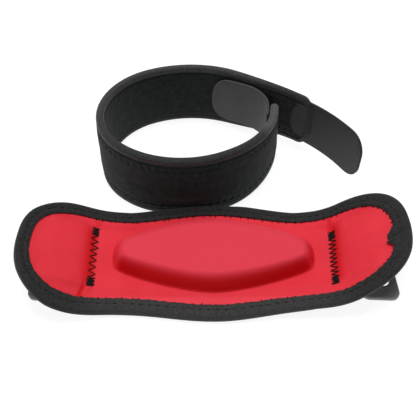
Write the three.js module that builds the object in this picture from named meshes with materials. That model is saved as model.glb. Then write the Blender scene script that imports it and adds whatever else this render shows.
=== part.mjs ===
// Elbow brace: a padded forearm piece with a raised pressure cushion and two strap rings,
// and its loop-faced strap, which stands on edge as an open loop behind the pad.
// Millimetres, +Z up. +X runs along the pad and +Y from the pad towards the strap.

import * as THREE from "three";
import { mergeVertices } from "three/addons/utils/BufferGeometryUtils.js";

const { clamp, degToRad, smoothstep } = THREE.MathUtils;

// Clearance between neighbouring pieces, and walls of the binding tapes
const GAP = 0.25;
const TAPE = 1.0;
const MERGE_WITHIN = 1e-4;

// Pad: flat outline
const PAD_LENGTH = 208;
const PAD_HALF_MIDDLE = 35.6;
const PAD_HALF_WAIST = 32;
const PAD_WAIST_AT = 46;
const PAD_CAP = 42;
const PAD_CAP_POWER = 2.58;
const PAD_CAP_STEPS = 11;
const PAD_FOLD_ROW = 57;
const PAD_MIDDLE_ROWS = [36, 27, 18, 9];
const PAD_TAPE_COVER = 7;

// Pad: layers, counted from the middle of the sandwich
const LINING_WALL = 1.2;
const SHELL_WALL = 1.2;
const LAYER_SPLIT = 0.1;
const PAD_HALF_CORE = LAYER_SPLIT + LINING_WALL;
const PAD_REST = PAD_HALF_CORE + GAP + TAPE;
const LINING_PUFF = 0.9;
const SLOPE_STEP = 0.5;
const PUFF_FROM = PAD_TAPE_COVER + 1.5;
const PUFF_RUN = 6;
const TIP_COLUMNS = 0.7;
const FIELD_COLUMNS = 0.85;

// Raised cushion under the lining: a blunt-ended boat shape
const BUMP_HALF_LENGTH = 53;
const BUMP_HALF_WIDTH = 23;
const BUMP_END_NARROWING = 0.55;
const BUMP_HEIGHT = 11.2;
const BUMP_END_WALL = 9;
const BUMP_SIDE_WALL = 0.39;
const BUMP_WALL_STOPS = [0, 1 / 3, 2 / 3, 1];

// How the pad leaves the ground towards each end: legs of tangent arcs, turns in degrees
const FLAPS = {
  left: {
    legs: [
      { length: 40, turn: 0 },
      { length: 16, turn: 7 },
      { length: 16, turn: 20 },
      { length: 34, turn: 2 },
    ],
    sweep: 1.5,
    nearCurl: 0,
    nearFullness: 0.12,
  },
  right: {
    legs: [
      { length: 40, turn: 0 },
      { length: 16, turn: 7 },
      { length: 16, turn: 26 },
      { length: 34, turn: -14 },
    ],
    sweep: 8,
    nearCurl: 6,
    nearFullness: 0,
  },
};
const SWEEP_FROM = 40;
const SWEEP_RUN = 60;
const NEAR_CURL_RUN = 50;
const FULLNESS_FROM = 46;
const FULLNESS_TO = 86;
const FAR_CURL = 3.2;
const FAR_CURL_RUN = 46;

// Strap rings and the cloth tabs that hold them under the pad's seams
const RING = { across: 55.4, along: 20, wall: 3, innerBar: 4, outerBar: 3.7, sideBar: 6.2, corner: 4 };
const RING_SLOT_CORNER = 1.5;
const RING_BEVEL = 0.5;
const RING_AT = 74;
const RING_SLID = 3.6;
const RING_DROOP = degToRad(3.6);
const RING_TAB = { wall: 1.0, width: 34, sewnFrom: 59, sewnTo: 67, floorGap: 0.1, corner: 0.8 };

// Strap: the plan path of its middle, walked from its free front end round to its tail
const STRAP_START = { x: 36.4, y: 92.6, heading: degToRad(-89.2) };
const STRAP_LEGS = [
  { length: 41.8, turn: -43.5 },
  { length: 41.8, turn: -46.1 },
  { length: 39.5, turn: -42.2 },
  { length: 41.3, turn: -61.0 },
  { length: 40.1, turn: -53.4 },
  { length: 52.9, turn: -48.0 },
  { length: 28.4, turn: -2.9 },
  { length: 67.3, turn: -37.4 },
];
const BAND_LENGTH = 315;
const BAND_HALF_WIDTH = 20.6;
const BAND_TAPER = { half: 17.6, run: 55 };
const BAND_CAP = 9;
const BAND_FRONT_CAP = 4.5;
const BAND_CAP_POWER = 2.2;
const BAND_CAP_STEPS = 5;
const BAND_STEPS = 47;
const BAND_HALF_CORE = 1.5;
const BAND_TAPE_COVER = 3.8;

// Hook tabs: one sewn inside the band's front end, one sewn edge to edge to its tail
const TAB = { half: 15.6, wall: 1.6, sewn: 12, cap: 13, power: 2.4, capSteps: 6 };
const TAB_SEAT = BAND_HALF_CORE + GAP + TAPE + GAP + TAB.wall / 2;
const OUTER_TAB = { reach: 40, rootGap: 0.4, hollowRun: 14, steps: 9, columns: 6 };
const INNER_TAB = { landsAt: 268, tipAt: 246, bridge: 8, steps: 16, seatSteps: 6 };

const CLOTH_RED = { color: 0xe03c4b, roughness: 0.85, metalness: 0 };
const CLOTH_BLACK = { color: 0x262728, roughness: 0.9, metalness: 0 };
const TAPE_CHARCOAL = { color: 0x2d2f2f, roughness: 0.8, metalness: 0 };
const FOAM_GREY = { color: 0x4a4a4c, roughness: 0.95, metalness: 0 };
const HOOK_GREY = { color: 0x3a3b3c, roughness: 0.6, metalness: 0 };
const PLASTIC_BLACK = { color: 0x2c2c2e, roughness: 0.45, metalness: 0 };

// A solid from four-cornered faces; corners that meet are merged and empty triangles dropped.
function solidOf(faces) {
  const corners = faces.flatMap(([a, b, c, d]) => [a, b, c, a, c, d]);
  const loose = new THREE.BufferGeometry();
  loose.setAttribute("position", new THREE.Float32BufferAttribute(corners.flat(), 3));
  const merged = mergeVertices(loose, MERGE_WITHIN);
  const index = merged.getIndex().array;
  const kept = [];
  for (let i = 0; i < index.length; i += 3) {
    const [a, b, c] = index.slice(i, i + 3);
    if (a !== b && b !== c && c !== a) kept.push(a, b, c);
  }
  merged.setIndex(kept);
  merged.computeVertexNormals();
  return merged;
}

// Faces between two lines of points with the same number of points.
function stripFaces(first, second) {
  return first.slice(1).map((point, i) => [first[i], point, second[i + 1], second[i]]);
}

// A sheet of cloth between an upper and a lower grid of points, closed round its edge.
function sheetSolid(upper, lower) {
  const faces = [];
  for (let i = 1; i < upper.length; i += 1) {
    const under = stripFaces(lower[i - 1], lower[i]);
    faces.push(...stripFaces(upper[i - 1], upper[i]));
    faces.push(...under.map(([a, b, c, d]) => [a, d, c, b]));
  }
  const side = (grid, column) => grid.map((row) => row.at(column));
  faces.push(...stripFaces(lower[0], upper[0]));
  faces.push(...stripFaces(upper.at(-1), lower.at(-1)));
  faces.push(...stripFaces(side(upper, 0), side(lower, 0)));
  faces.push(...stripFaces(side(lower, -1), side(upper, -1)));
  return solidOf(faces);
}

// A plane path of tangent arcs, turns in degrees, as a function of the distance walked.
// The last leg runs on past its end.
function arcPath(start, legs) {
  return (distance) => {
    let { x, y, heading } = start;
    let left = distance;
    legs.forEach((leg, i) => {
      const run = i === legs.length - 1 ? left : Math.min(left, leg.length);
      const half = (degToRad(leg.turn) * run) / leg.length / 2;
      const chord = half === 0 ? run : (run * Math.sin(half)) / half;
      x += chord * Math.cos(heading + half);
      y += chord * Math.sin(heading + half);
      heading += 2 * half;
      left -= run;
    });
    return { x, y, heading };
  };
}

// Half width of a flat piece, drawn in by an inset; a capped end is rounded as a superellipse.
function halfAt(piece, along, inset) {
  const { start, end, startCap, endCap, power, half } = piece;
  const intoStart = start + startCap - along;
  const intoEnd = along - (end - endCap);
  const into = Math.max(intoStart, intoEnd);
  if (into <= 0) return half(along) - inset;
  const cap = intoStart > intoEnd ? startCap : endCap;
  const root = intoStart > intoEnd ? start + startCap : end - endCap;
  const share = Math.min(into / (cap - inset), 1);
  return (half(root) - inset) * (1 - share ** power) ** (1 / power);
}

// Where the rows across a flat piece lie along it: the caps' own rows and the stops between them.
function rowsOf(piece, inset) {
  const { start, end, startCap, endCap, power, capSteps, stops } = piece;
  const capRows = (root, reach) =>
    Array.from({ length: capSteps }, (_, i) => {
      const angle = (i / capSteps) * (Math.PI / 2);
      return root + reach * Math.cos(angle) ** (2 / power);
    });
  const first = startCap > 0 ? capRows(start + startCap, inset - startCap) : [];
  const last = endCap > 0 ? capRows(end - endCap, endCap - inset).reverse() : [];
  return [...first, ...stops, ...last];
}

// The closed outline of a flat piece: along one side and back along the other.
function outlineOf(piece, inset) {
  const side = rowsOf(piece, inset).map((along) => [along, halfAt(piece, along, inset)]);
  const back = side.map(([along, half]) => [along, -half]).reverse();
  return [...side, ...back, side[0]];
}

// A tape folded over the edge of a flat piece, all the way round it.
function tapeSolid(piece, halfCore, cover, place) {
  const inside = halfCore + GAP;
  const outside = inside + TAPE;
  const section = [
    { inset: cover, lift: outside },
    { inset: TAPE, lift: outside },
    { inset: 0, lift: halfCore },
    { inset: 0, lift: -halfCore },
    { inset: TAPE, lift: -outside },
    { inset: cover, lift: -outside },
    { inset: cover, lift: -inside },
    { inset: TAPE, lift: -inside },
    { inset: TAPE, lift: inside },
    { inset: cover, lift: inside },
  ];
  const rails = section.map(({ inset, lift }) =>
    outlineOf(piece, inset).map(([along, across]) => place(along, across, lift)),
  );
  return solidOf(rails.flatMap((rail, i) => stripFaces(rail, rails[(i + 1) % rails.length])));
}

// Stops at an even pitch, both ends included.
function evenStops(from, to, steps) {
  return Array.from({ length: steps + 1 }, (_, i) => from + ((to - from) * i) / steps);
}

// Pad

for (const flap of Object.values(FLAPS)) {
  flap.profile = arcPath({ x: 0, y: 0, heading: 0 }, flap.legs);
}

// A point of the pad: along and across its flat pattern, and lifted off the middle of the sandwich.
function onPad(along, across, lift) {
  const reach = along - PAD_LENGTH / 2;
  const side = Math.sign(reach);
  const { profile, sweep, nearCurl, nearFullness } = side < 0 ? FLAPS.left : FLAPS.right;
  const { x, y: rise, heading } = profile(Math.abs(reach));
  const swept = sweep * Math.max((Math.abs(reach) - SWEEP_FROM) / SWEEP_RUN, 0) ** 2;
  const fullness = across < 0 ? nearFullness * smoothstep(Math.abs(reach), FULLNESS_FROM, FULLNESS_TO) : 0;
  const nearShare = nearCurl * Math.min(Math.abs(reach) / NEAR_CURL_RUN, 1) ** 2;
  const farShare = FAR_CURL * Math.max(1 - (reach / FAR_CURL_RUN) ** 2, 0);
  const curl = (across < 0 ? nearShare : farShare) * (across / PAD_HALF_MIDDLE) ** 2;
  return [
    side * (x - lift * Math.sin(heading)),
    across * (1 + fullness) + swept,
    PAD_REST + rise + curl + lift * Math.cos(heading),
  ];
}

function padHalf(along) {
  const reach = Math.min(Math.abs(along - PAD_LENGTH / 2), PAD_WAIST_AT);
  const swell = Math.cos((reach / PAD_WAIST_AT) * (Math.PI / 2)) ** 2;
  return PAD_HALF_WAIST + (PAD_HALF_MIDDLE - PAD_HALF_WAIST) * swell;
}

function bumpHalf(along) {
  const share = Math.min(Math.abs(along - PAD_LENGTH / 2) / BUMP_HALF_LENGTH, 1);
  return BUMP_HALF_WIDTH * (1 - BUMP_END_NARROWING * share ** 2);
}

// Height of the lining's face over the middle of the sandwich: edge, puffed field and cushion.
function liningFace(along, across) {
  const reach = Math.abs(along - PAD_LENGTH / 2);
  const half = bumpHalf(along);
  const field = halfAt(PAD, along, PUFF_FROM);
  const tip = smoothstep(PAD_LENGTH / 2 - PUFF_FROM - reach, 0, 2 * PUFF_RUN);
  const puff = tip * smoothstep(field - Math.abs(across), 0, PUFF_RUN);
  const ends = smoothstep(BUMP_HALF_LENGTH - reach, 0, BUMP_END_WALL);
  const sides = smoothstep(half - Math.abs(across), 0, BUMP_SIDE_WALL * half);
  return PAD_HALF_CORE + LINING_PUFF * puff + BUMP_HEIGHT * ends * sides;
}

// The lining's back, thickened where the face is steep so that the cloth keeps its wall.
function liningBack(along, across) {
  const step = SLOPE_STEP;
  const climbAlong = liningFace(along + step, across) - liningFace(along - step, across);
  const climbAcross = liningFace(along, across + step) - liningFace(along, across - step);
  const steepness = Math.hypot(1, climbAlong / (2 * step), climbAcross / (2 * step));
  return liningFace(along, across) - LINING_WALL * steepness;
}

const bumpRows = BUMP_WALL_STOPS.map((share) => BUMP_HALF_LENGTH - BUMP_END_WALL * share);
const reaches = [PAD_LENGTH / 2 - PAD_CAP, PAD_FOLD_ROW, ...bumpRows, ...PAD_MIDDLE_ROWS];
const PAD = {
  start: 0,
  end: PAD_LENGTH,
  startCap: PAD_CAP,
  endCap: PAD_CAP,
  power: PAD_CAP_POWER,
  capSteps: PAD_CAP_STEPS,
  half: padHalf,
  stops: [...reaches.map((r) => -r), 0, ...reaches.toReversed()].map((r) => PAD_LENGTH / 2 + r),
};

// The grid that the pad's layers share: for each row, columns at the edge, tape, cushion and middle.
function padGrid(rows) {
  return rows.map((along) => {
    const edge = halfAt(PAD, along, TAPE + GAP);
    const field = Math.max(halfAt(PAD, along, PUFF_FROM), TIP_COLUMNS * edge);
    const base = Math.min(bumpHalf(along), FIELD_COLUMNS * field);
    const walls = BUMP_WALL_STOPS.map((share) => base * (1 - BUMP_SIDE_WALL * share));
    const far = [edge, field, ...walls];
    return [...far, 0, ...far.map((across) => -across).reverse()].map((across) => [along, across]);
  });
}

function padSheet(grid, upper, lower) {
  const layer = (lift) =>
    grid.map((row) => row.map(([along, across]) => onPad(along, across, lift(along, across))));
  return sheetSolid(layer(upper), layer(lower));
}

const layerGrid = padGrid(rowsOf(PAD, TAPE + GAP));
const bumpInside = BUMP_HALF_LENGTH - BUMP_END_WALL / 4;
const insideBump = ([along]) => Math.abs(along - PAD_LENGTH / 2) < bumpInside;
const cushionGrid = layerGrid.filter((row) => insideBump(row[0])).map((row) => row.slice(3, -3));

const padLining = padSheet(layerGrid, liningFace, liningBack);
const pressurePad = padSheet(
  cushionGrid,
  (along, across) => liningBack(along, across) - GAP,
  () => GAP - LAYER_SPLIT,
);
const padShell = padSheet(
  layerGrid,
  () => -LAYER_SPLIT,
  () => -LAYER_SPLIT - SHELL_WALL,
);
const padBinding = tapeSolid(PAD, PAD_HALF_CORE, PAD_TAPE_COVER, onPad);

// Strap rings

function roundedRectangle(path, left, bottom, right, top, radius) {
  path.moveTo(left + radius, bottom);
  path.lineTo(right - radius, bottom);
  path.absarc(right - radius, bottom + radius, radius, -Math.PI / 2, 0);
  path.lineTo(right, top - radius);
  path.absarc(right - radius, top - radius, radius, 0, Math.PI / 2);
  path.lineTo(left + radius, top);
  path.absarc(left + radius, top - radius, radius, Math.PI / 2, Math.PI);
  path.lineTo(left, bottom + radius);
  path.absarc(left + radius, bottom + radius, radius, Math.PI, 1.5 * Math.PI);
  return path;
}

// A ring lies with its inner bar along the origin's Y axis and reaches out along +X.
function ringSolid() {
  const halfAcross = RING.across / 2;
  const shape = roundedRectangle(
    new THREE.Shape(),
    RING_BEVEL - RING.innerBar / 2,
    RING_BEVEL - halfAcross,
    RING.along - RING.innerBar / 2 - RING_BEVEL,
    halfAcross - RING_BEVEL,
    RING.corner,
  );
  const slot = roundedRectangle(
    new THREE.Path(),
    RING.innerBar / 2 - RING_BEVEL,
    RING.sideBar - halfAcross - RING_BEVEL,
    RING.along - RING.innerBar / 2 - RING.outerBar + RING_BEVEL,
    halfAcross - RING.sideBar + RING_BEVEL,
    RING_SLOT_CORNER,
  );
  shape.holes.push(slot);
  const body = new THREE.ExtrudeGeometry(shape, {
    depth: RING.wall - 2 * RING_BEVEL,
    bevelSize: RING_BEVEL,
    bevelThickness: RING_BEVEL,
    bevelSegments: 1,
    curveSegments: 4,
  });
  body.translate(0, 0, RING_BEVEL - RING.wall / 2);
  body.deleteAttribute("normal");
  body.deleteAttribute("uv");
  return mergeVertices(body, MERGE_WITHIN);
}

const RING_BAR_HEIGHT = RING_TAB.floorGap + RING_TAB.wall + GAP + RING.wall / 2;
const RING_BAR_REACH = RING_AT + RING.innerBar / 2;

// The cloth tab, drawn in the side view: sewn under the pad's seam, then round the ring's inner bar.
function ringTabSolid(flap) {
  const under = -PAD_HALF_CORE - GAP;
  const sewnThickness = 2 * RING_TAB.wall;
  const sewnPoint = (reach, lift) => {
    const { x, y, heading } = flap.profile(reach);
    return [x - lift * Math.sin(heading), PAD_REST + y + lift * Math.cos(heading)];
  };
  const slack = GAP + RING.wall * Math.sin(RING_DROOP);
  const holeX = RING.innerBar / 2 + slack;
  const holeZ = RING.wall / 2 + slack;
  const loopX = holeX + RING_TAB.wall;
  const loopZ = RING.wall / 2 + GAP + RING_TAB.wall;
  const { corner } = RING_TAB;
  const bar = ([x, z]) => [RING_BAR_REACH + x, RING_BAR_HEIGHT + z];
  const outer = [
    sewnPoint(RING_TAB.sewnFrom, under - sewnThickness),
    sewnPoint(RING_TAB.sewnTo, under - sewnThickness),
    bar([-loopX + corner, -loopZ]),
    bar([loopX - corner, -loopZ]),
    bar([loopX, -loopZ + corner]),
    bar([loopX, loopZ - corner]),
    bar([loopX - corner, loopZ]),
    bar([-loopX + corner, loopZ]),
    sewnPoint(RING_TAB.sewnTo, under),
    sewnPoint(RING_TAB.sewnFrom, under),
  ];
  const hole = [
    [-holeX, -holeZ],
    [holeX, -holeZ],
    [holeX, holeZ],
    [-holeX, holeZ],
  ].map(bar);
  const shape = new THREE.Shape(outer.map(([x, z]) => new THREE.Vector2(x, z)));
  shape.holes.push(new THREE.Path(hole.map(([x, z]) => new THREE.Vector2(x, z))));
  const body = new THREE.ExtrudeGeometry(shape, { depth: RING_TAB.width, bevelEnabled: false });
  body.rotateX(Math.PI / 2);
  body.translate(0, RING_TAB.width / 2, 0);
  body.deleteAttribute("normal");
  body.deleteAttribute("uv");
  return mergeVertices(body, MERGE_WITHIN);
}

// Strap

const strapPath = arcPath(STRAP_START, STRAP_LEGS);

// A point of the strap: along it, down its width from mid height, and lifted outwards.
function onStrap(along, across, lift) {
  const { x, y, heading } = strapPath(along);
  return [x - lift * Math.sin(heading), y + lift * Math.cos(heading), BAND_HALF_WIDTH - across];
}

function bandHalf(along) {
  const fromEnd = Math.min(along, BAND_LENGTH - along);
  const full = smoothstep(fromEnd, BAND_CAP, BAND_CAP + BAND_TAPER.run);
  return BAND_TAPER.half + (BAND_HALF_WIDTH - BAND_TAPER.half) * full;
}

const BAND = {
  start: 0,
  end: BAND_LENGTH,
  startCap: BAND_FRONT_CAP,
  endCap: BAND_CAP,
  power: BAND_CAP_POWER,
  capSteps: BAND_CAP_STEPS,
  half: bandHalf,
  stops: evenStops(BAND_FRONT_CAP, BAND_LENGTH - BAND_CAP, BAND_STEPS),
};

// A flat cloth strip of even thickness, with columns each side of its middle, carried by a placing function.
function stripSolid(piece, inset, halfWall, columns, place) {
  const shares = evenStops(1, -1, 2 * columns);
  const layer = (lift) =>
    rowsOf(piece, inset).map((along) => {
      const half = halfAt(piece, along, inset);
      return shares.map((share) => place(along, share * half, lift));
    });
  return sheetSolid(layer(halfWall), layer(-halfWall));
}

const strapBand = stripSolid(BAND, TAPE + GAP, BAND_HALF_CORE, 1, onStrap);
const strapBinding = tapeSolid(BAND, BAND_HALF_CORE, BAND_TAPE_COVER, onStrap);

const tabShape = (start, end, steps) => ({
  start,
  end,
  startCap: 0,
  endCap: TAB.cap,
  power: TAB.power,
  capSteps: TAB.capSteps,
  half: () => TAB.half,
  stops: evenStops(start, end - TAB.cap, steps),
});

// The outer tab runs on from the band's tail, with its root hollowed to follow the tail's rounded end.
const outerRoot = BAND_LENGTH + OUTER_TAB.rootGap;
const outerTab = tabShape(outerRoot, BAND_LENGTH + OUTER_TAB.reach, OUTER_TAB.steps);

function onOuterTab(along, across, lift) {
  const share = Math.abs(across) / BAND_TAPER.half;
  const hollow = BAND_CAP * (1 - (1 - share ** BAND_CAP_POWER) ** (1 / BAND_CAP_POWER));
  const kept = 1 - smoothstep(along, outerRoot, outerRoot + OUTER_TAB.hollowRun);
  return onStrap(along - hollow * kept, across, lift);
}

const hookTabOuter = stripSolid(outerTab, 0, TAB.wall / 2, OUTER_TAB.columns, onOuterTab);

// The inner tab leaves the band's front end, bridges across and lies against the back of the loop.
function innerTabPath() {
  const seat = (along) => new THREE.Vector2(...onStrap(along, 0, -TAB_SEAT));
  const backwards = (along) => {
    const { heading } = strapPath(along);
    return new THREE.Vector2(-Math.cos(heading), -Math.sin(heading));
  };
  const leaves = seat(0);
  const lands = seat(INNER_TAB.landsAt);
  const leaving = leaves.clone().addScaledVector(backwards(0), INNER_TAB.bridge);
  const landing = lands.clone().addScaledVector(backwards(INNER_TAB.landsAt), -INNER_TAB.bridge);
  const seatedBack = evenStops(INNER_TAB.landsAt, INNER_TAB.tipAt, INNER_TAB.seatSteps);
  const path = new THREE.CurvePath();
  path.add(new THREE.SplineCurve(evenStops(TAB.sewn, 0, INNER_TAB.seatSteps).map(seat)));
  path.add(new THREE.CubicBezierCurve(leaves, leaving, landing, lands));
  path.add(new THREE.SplineCurve(seatedBack.map(seat)));
  return path;
}

const innerPath = innerTabPath();
const innerLength = innerPath.getLength();

function onInnerTab(along, across, lift) {
  const share = clamp(along / innerLength, 0, 1);
  const point = innerPath.getPoint(share);
  const heading = innerPath.getTangent(share).angle();
  return [
    point.x - lift * Math.sin(heading),
    point.y + lift * Math.cos(heading),
    BAND_HALF_WIDTH - across,
  ];
}

const innerTab = tabShape(0, innerLength, INNER_TAB.steps);
const hookTabInner = stripSolid(innerTab, 0, TAB.wall / 2, 1, onInnerTab);

// Assembly

function piece(name, geometry, finish) {
  const mesh = new THREE.Mesh(geometry, new THREE.MeshStandardMaterial(finish));
  mesh.name = name;
  return mesh;
}

const brace = new THREE.Group();
brace.add(
  piece("pad_lining", padLining, CLOTH_RED),
  piece("pressure_pad", pressurePad, FOAM_GREY),
  piece("pad_shell", padShell, CLOTH_BLACK),
  piece("pad_binding", padBinding, TAPE_CHARCOAL),
  piece("strap_band", strapBand, CLOTH_BLACK),
  piece("strap_binding", strapBinding, TAPE_CHARCOAL),
  piece("hook_tab_inner", hookTabInner, HOOK_GREY),
  piece("hook_tab_outer", hookTabOuter, HOOK_GREY),
);

for (const [name, flap] of Object.entries(FLAPS)) {
  const side = new THREE.Group();
  const ring = piece(`ring_${name}`, ringSolid(), PLASTIC_BLACK);
  const turned = name === "left" ? Math.PI : 0;
  ring.position.set(RING_BAR_REACH, RING_SLID * Math.cos(turned), RING_BAR_HEIGHT);
  ring.rotation.y = RING_DROOP;
  side.add(ring, piece(`ring_tab_${name}`, ringTabSolid(flap), CLOTH_BLACK));
  side.rotation.z = turned;
  brace.add(side);
}

// The origin is the middle of the brace's footprint, on the ground.
const box = new THREE.Box3().setFromObject(brace);
const middle = box.getCenter(new THREE.Vector3());
brace.position.set(-middle.x, -middle.y, -box.min.z);

export default brace;
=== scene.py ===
import bmesh
import bpy
import numpy as np
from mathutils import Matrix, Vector


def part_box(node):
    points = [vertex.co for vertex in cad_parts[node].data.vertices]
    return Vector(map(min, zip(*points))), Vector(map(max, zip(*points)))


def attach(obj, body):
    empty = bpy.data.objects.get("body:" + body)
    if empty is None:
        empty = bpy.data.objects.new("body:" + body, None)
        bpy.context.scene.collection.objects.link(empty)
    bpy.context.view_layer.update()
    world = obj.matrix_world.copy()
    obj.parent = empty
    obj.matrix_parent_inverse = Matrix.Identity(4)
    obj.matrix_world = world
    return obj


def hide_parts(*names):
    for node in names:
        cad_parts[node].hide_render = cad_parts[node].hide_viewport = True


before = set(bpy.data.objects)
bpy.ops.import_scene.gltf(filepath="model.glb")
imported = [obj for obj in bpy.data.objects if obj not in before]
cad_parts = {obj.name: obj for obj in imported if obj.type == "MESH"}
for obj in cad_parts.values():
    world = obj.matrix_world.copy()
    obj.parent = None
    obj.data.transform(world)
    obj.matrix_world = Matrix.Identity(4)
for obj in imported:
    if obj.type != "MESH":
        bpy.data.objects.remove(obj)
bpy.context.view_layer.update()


# The setting: a pale seamless floor and sky under broad soft lights, and a camera that looks down on the
# pad from its near side. The pad's middle is found from the two rings, which lie a little off centre.
RING_SLID = 0.0036
ring_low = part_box("ring_left")[0]
ring_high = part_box("ring_right")[1]
MIDDLE = np.array([(ring_low.x + ring_high.x) / 2, (ring_low.y + ring_high.y) / 2 - RING_SLID, 0.0])
CAMERA_FROM_MIDDLE = (-0.0029, -0.1798, 0.24008)
CAMERA_TILT = np.radians(42.5)
CAMERA_LENS = 48.46
FLOOR_HALF = 40.0
FLOOR_COLOUR = (0.22, 0.22, 0.22, 1)
FLOOR_GLOW = 0.88
DAYLIGHT = 0.10
SKY_SEEN = 1.0
LIGHT_AIM, LIGHT_SIZE = (0, 0, 0.01), 0.5
# Each light's place and watts
LIGHTS = {
    "overhead": ((0.0, 0.16, 1.05), 7.6),
    "behind": ((0.0, 0.75, 0.85), 1.3),
    "left_fill": ((-0.9, -0.15, 0.6), 2.5),
    "right_fill": ((0.9, -0.1, 0.6), 1.5),
    "front_fill": ((0.0, -0.9, 0.35), 0.9),
}


class Socket:
    """A node's output. Sums, differences and products of sockets and numbers add Math nodes."""

    def __init__(self, finish, output):
        self.finish, self.output = finish, output

    def math(self, operation, *terms):
        """A Math node with an operation and its terms."""
        return self.finish.node("ShaderNodeMath", {"operation": operation}, dict(enumerate(terms)))

    def __add__(self, other):
        return self.math("ADD", self, other)

    def __radd__(self, other):
        return self.math("ADD", other, self)

    def __sub__(self, other):
        return self.math("SUBTRACT", self, other)

    def __rsub__(self, other):
        return self.math("SUBTRACT", other, self)

    def __mul__(self, other):
        return self.math("MULTIPLY", self, other)

    def __rmul__(self, other):
        return self.math("MULTIPLY", other, self)

    def sine(self):
        """The sine of the value, from -1 to 1."""
        return self.math("SINE", self)

    def wave(self):
        """The sine of the value, brought to between 0 and 1."""
        return self.sine() * 0.5 + 0.5

    def size(self):
        """The value without its sign."""
        return self.math("ABSOLUTE", self)

    def positive(self):
        """The value where it is over 0, and 0 elsewhere."""
        return self.math("MAXIMUM", self, 0.0)


class Finish:
    """A material: node() adds any node to it, and wear() gives its shader what changes over the surface."""

    def __init__(self, name, constants):
        self.material = bpy.data.materials.new(name)
        self.material.use_nodes = True
        self.tree = self.material.node_tree
        self.shader = self.tree.nodes["Principled BSDF"]
        self.wear(constants)

    def put(self, node, inputs):
        """Sets a node's sockets, or links them to other nodes."""
        for name, value in inputs.items():
            if isinstance(value, Socket):
                self.tree.links.new(value.output, node.inputs[name])
            else:
                node.inputs[name].default_value = value

    def node(self, kind, settings, inputs, output=0):
        """Any node: its type, its settings, the values or links of its sockets, and the output in use."""
        made = self.tree.nodes.new(kind)
        for name, value in settings.items():
            setattr(made, name, value)
        self.put(made, inputs)
        return Socket(self, made.outputs[output])

    def wear(self, inputs):
        """Sets or links the shader's sockets."""
        self.put(self.shader, inputs)

    def place(self):
        """Object coordinates, in metres."""
        return self.node("ShaderNodeTexCoord", {}, {}, "Object")

    def cut(self):
        """The two flat coordinates of the cloth's cut, in millimetres."""
        flat = self.node("ShaderNodeTexCoord", {}, {}, "UV")
        return [self.node("ShaderNodeSeparateXYZ", {}, {0: flat}, axis) for axis in ("X", "Y")]

    def noise(self, scale, detail=2.0, rough=0.5):
        """Noise from 0 to 1, with scale cells to the metre."""
        inputs = {"Vector": self.place(), "Scale": scale, "Detail": detail, "Roughness": rough}
        return self.node("ShaderNodeTexNoise", {}, inputs)

    def range(self, value, low, high):
        """0 where the value is under low, 1 over high, and smooth between."""
        inputs = {"Value": value, "From Min": low, "From Max": high}
        return self.node("ShaderNodeMapRange", {"interpolation_type": "SMOOTHSTEP"}, inputs)

    def mix(self, share, first, second):
        """One colour towards another by a share."""
        return self.node("ShaderNodeMix", {"data_type": "RGBA"}, {0: share, 6: first, 7: second}, 2)

    def tinted(self, share, shade, tint):
        """A colour times a tint by a share."""
        inputs = {0: share, 6: shade, 7: tint}
        return self.node("ShaderNodeMix", {"data_type": "RGBA", "blend_type": "MULTIPLY"}, inputs, 2)

    def surface(self, shade, height, depth, strength):
        """Links the shader's colour to a shade, and its normal to a relief: a height of 0 to 1 that stands
        for a depth in metres."""
        inputs = {"Height": height, "Distance": depth, "Strength": strength}
        self.wear({"Base Color": shade, "Normal": self.node("ShaderNodeBump", {}, inputs)})


def soft_light(name, place, watts):
    """A square area light that faces the part."""
    light = bpy.data.objects.new(name, bpy.data.lights.new(name, "AREA"))
    light.data.size = LIGHT_SIZE
    light.data.energy = watts
    light.location = place
    light.rotation_euler = (Vector(LIGHT_AIM) - Vector(place)).to_track_quat("-Z", "Y").to_euler()
    bpy.context.scene.collection.objects.link(light)


scene = bpy.context.scene
scene.view_settings.view_transform = "Standard"
camera = bpy.data.objects.new("camera", bpy.data.cameras.new("camera"))
camera.data.lens = CAMERA_LENS
camera.location = MIDDLE + np.array(CAMERA_FROM_MIDDLE)
camera.rotation_euler = (CAMERA_TILT, 0, 0)
scene.collection.objects.link(camera)
scene.camera = camera

# The sky gives the part a little light, and the camera sees it at its full strength.
scene.world = bpy.data.worlds.new("daylight")
scene.world.use_nodes = True
sky = scene.world.node_tree
ray = sky.nodes.new("ShaderNodeLightPath")
strength = sky.nodes.new("ShaderNodeMapRange")
strength.inputs["To Min"].default_value = DAYLIGHT
strength.inputs["To Max"].default_value = SKY_SEEN
sky.links.new(ray.outputs["Is Camera Ray"], strength.inputs["Value"])
sky.links.new(strength.outputs["Result"], sky.nodes["Background"].inputs["Strength"])
sky.nodes["Background"].inputs["Color"].default_value = (1, 1, 1, 1)
for light_name, (light_place, watts) in LIGHTS.items():
    soft_light(light_name, light_place, watts)

floor_finish = Finish("pale_floor", {"Base Color": FLOOR_COLOUR, "Roughness": 0.9})
floor_finish.wear({"Emission Color": (1, 1, 1, 1), "Emission Strength": FLOOR_GLOW})
floor_mesh = bpy.data.meshes.new("floor")
corners = [(x * FLOOR_HALF, y * FLOOR_HALF, 0) for x, y in ((-1, -1), (1, -1), (1, 1), (-1, 1))]
floor_mesh.from_pydata(corners, [], [(0, 1, 2, 3)])
floor = bpy.data.objects.new("floor", floor_mesh)
floor_mesh.materials.append(floor_finish.material)
scene.collection.objects.link(floor)


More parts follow.
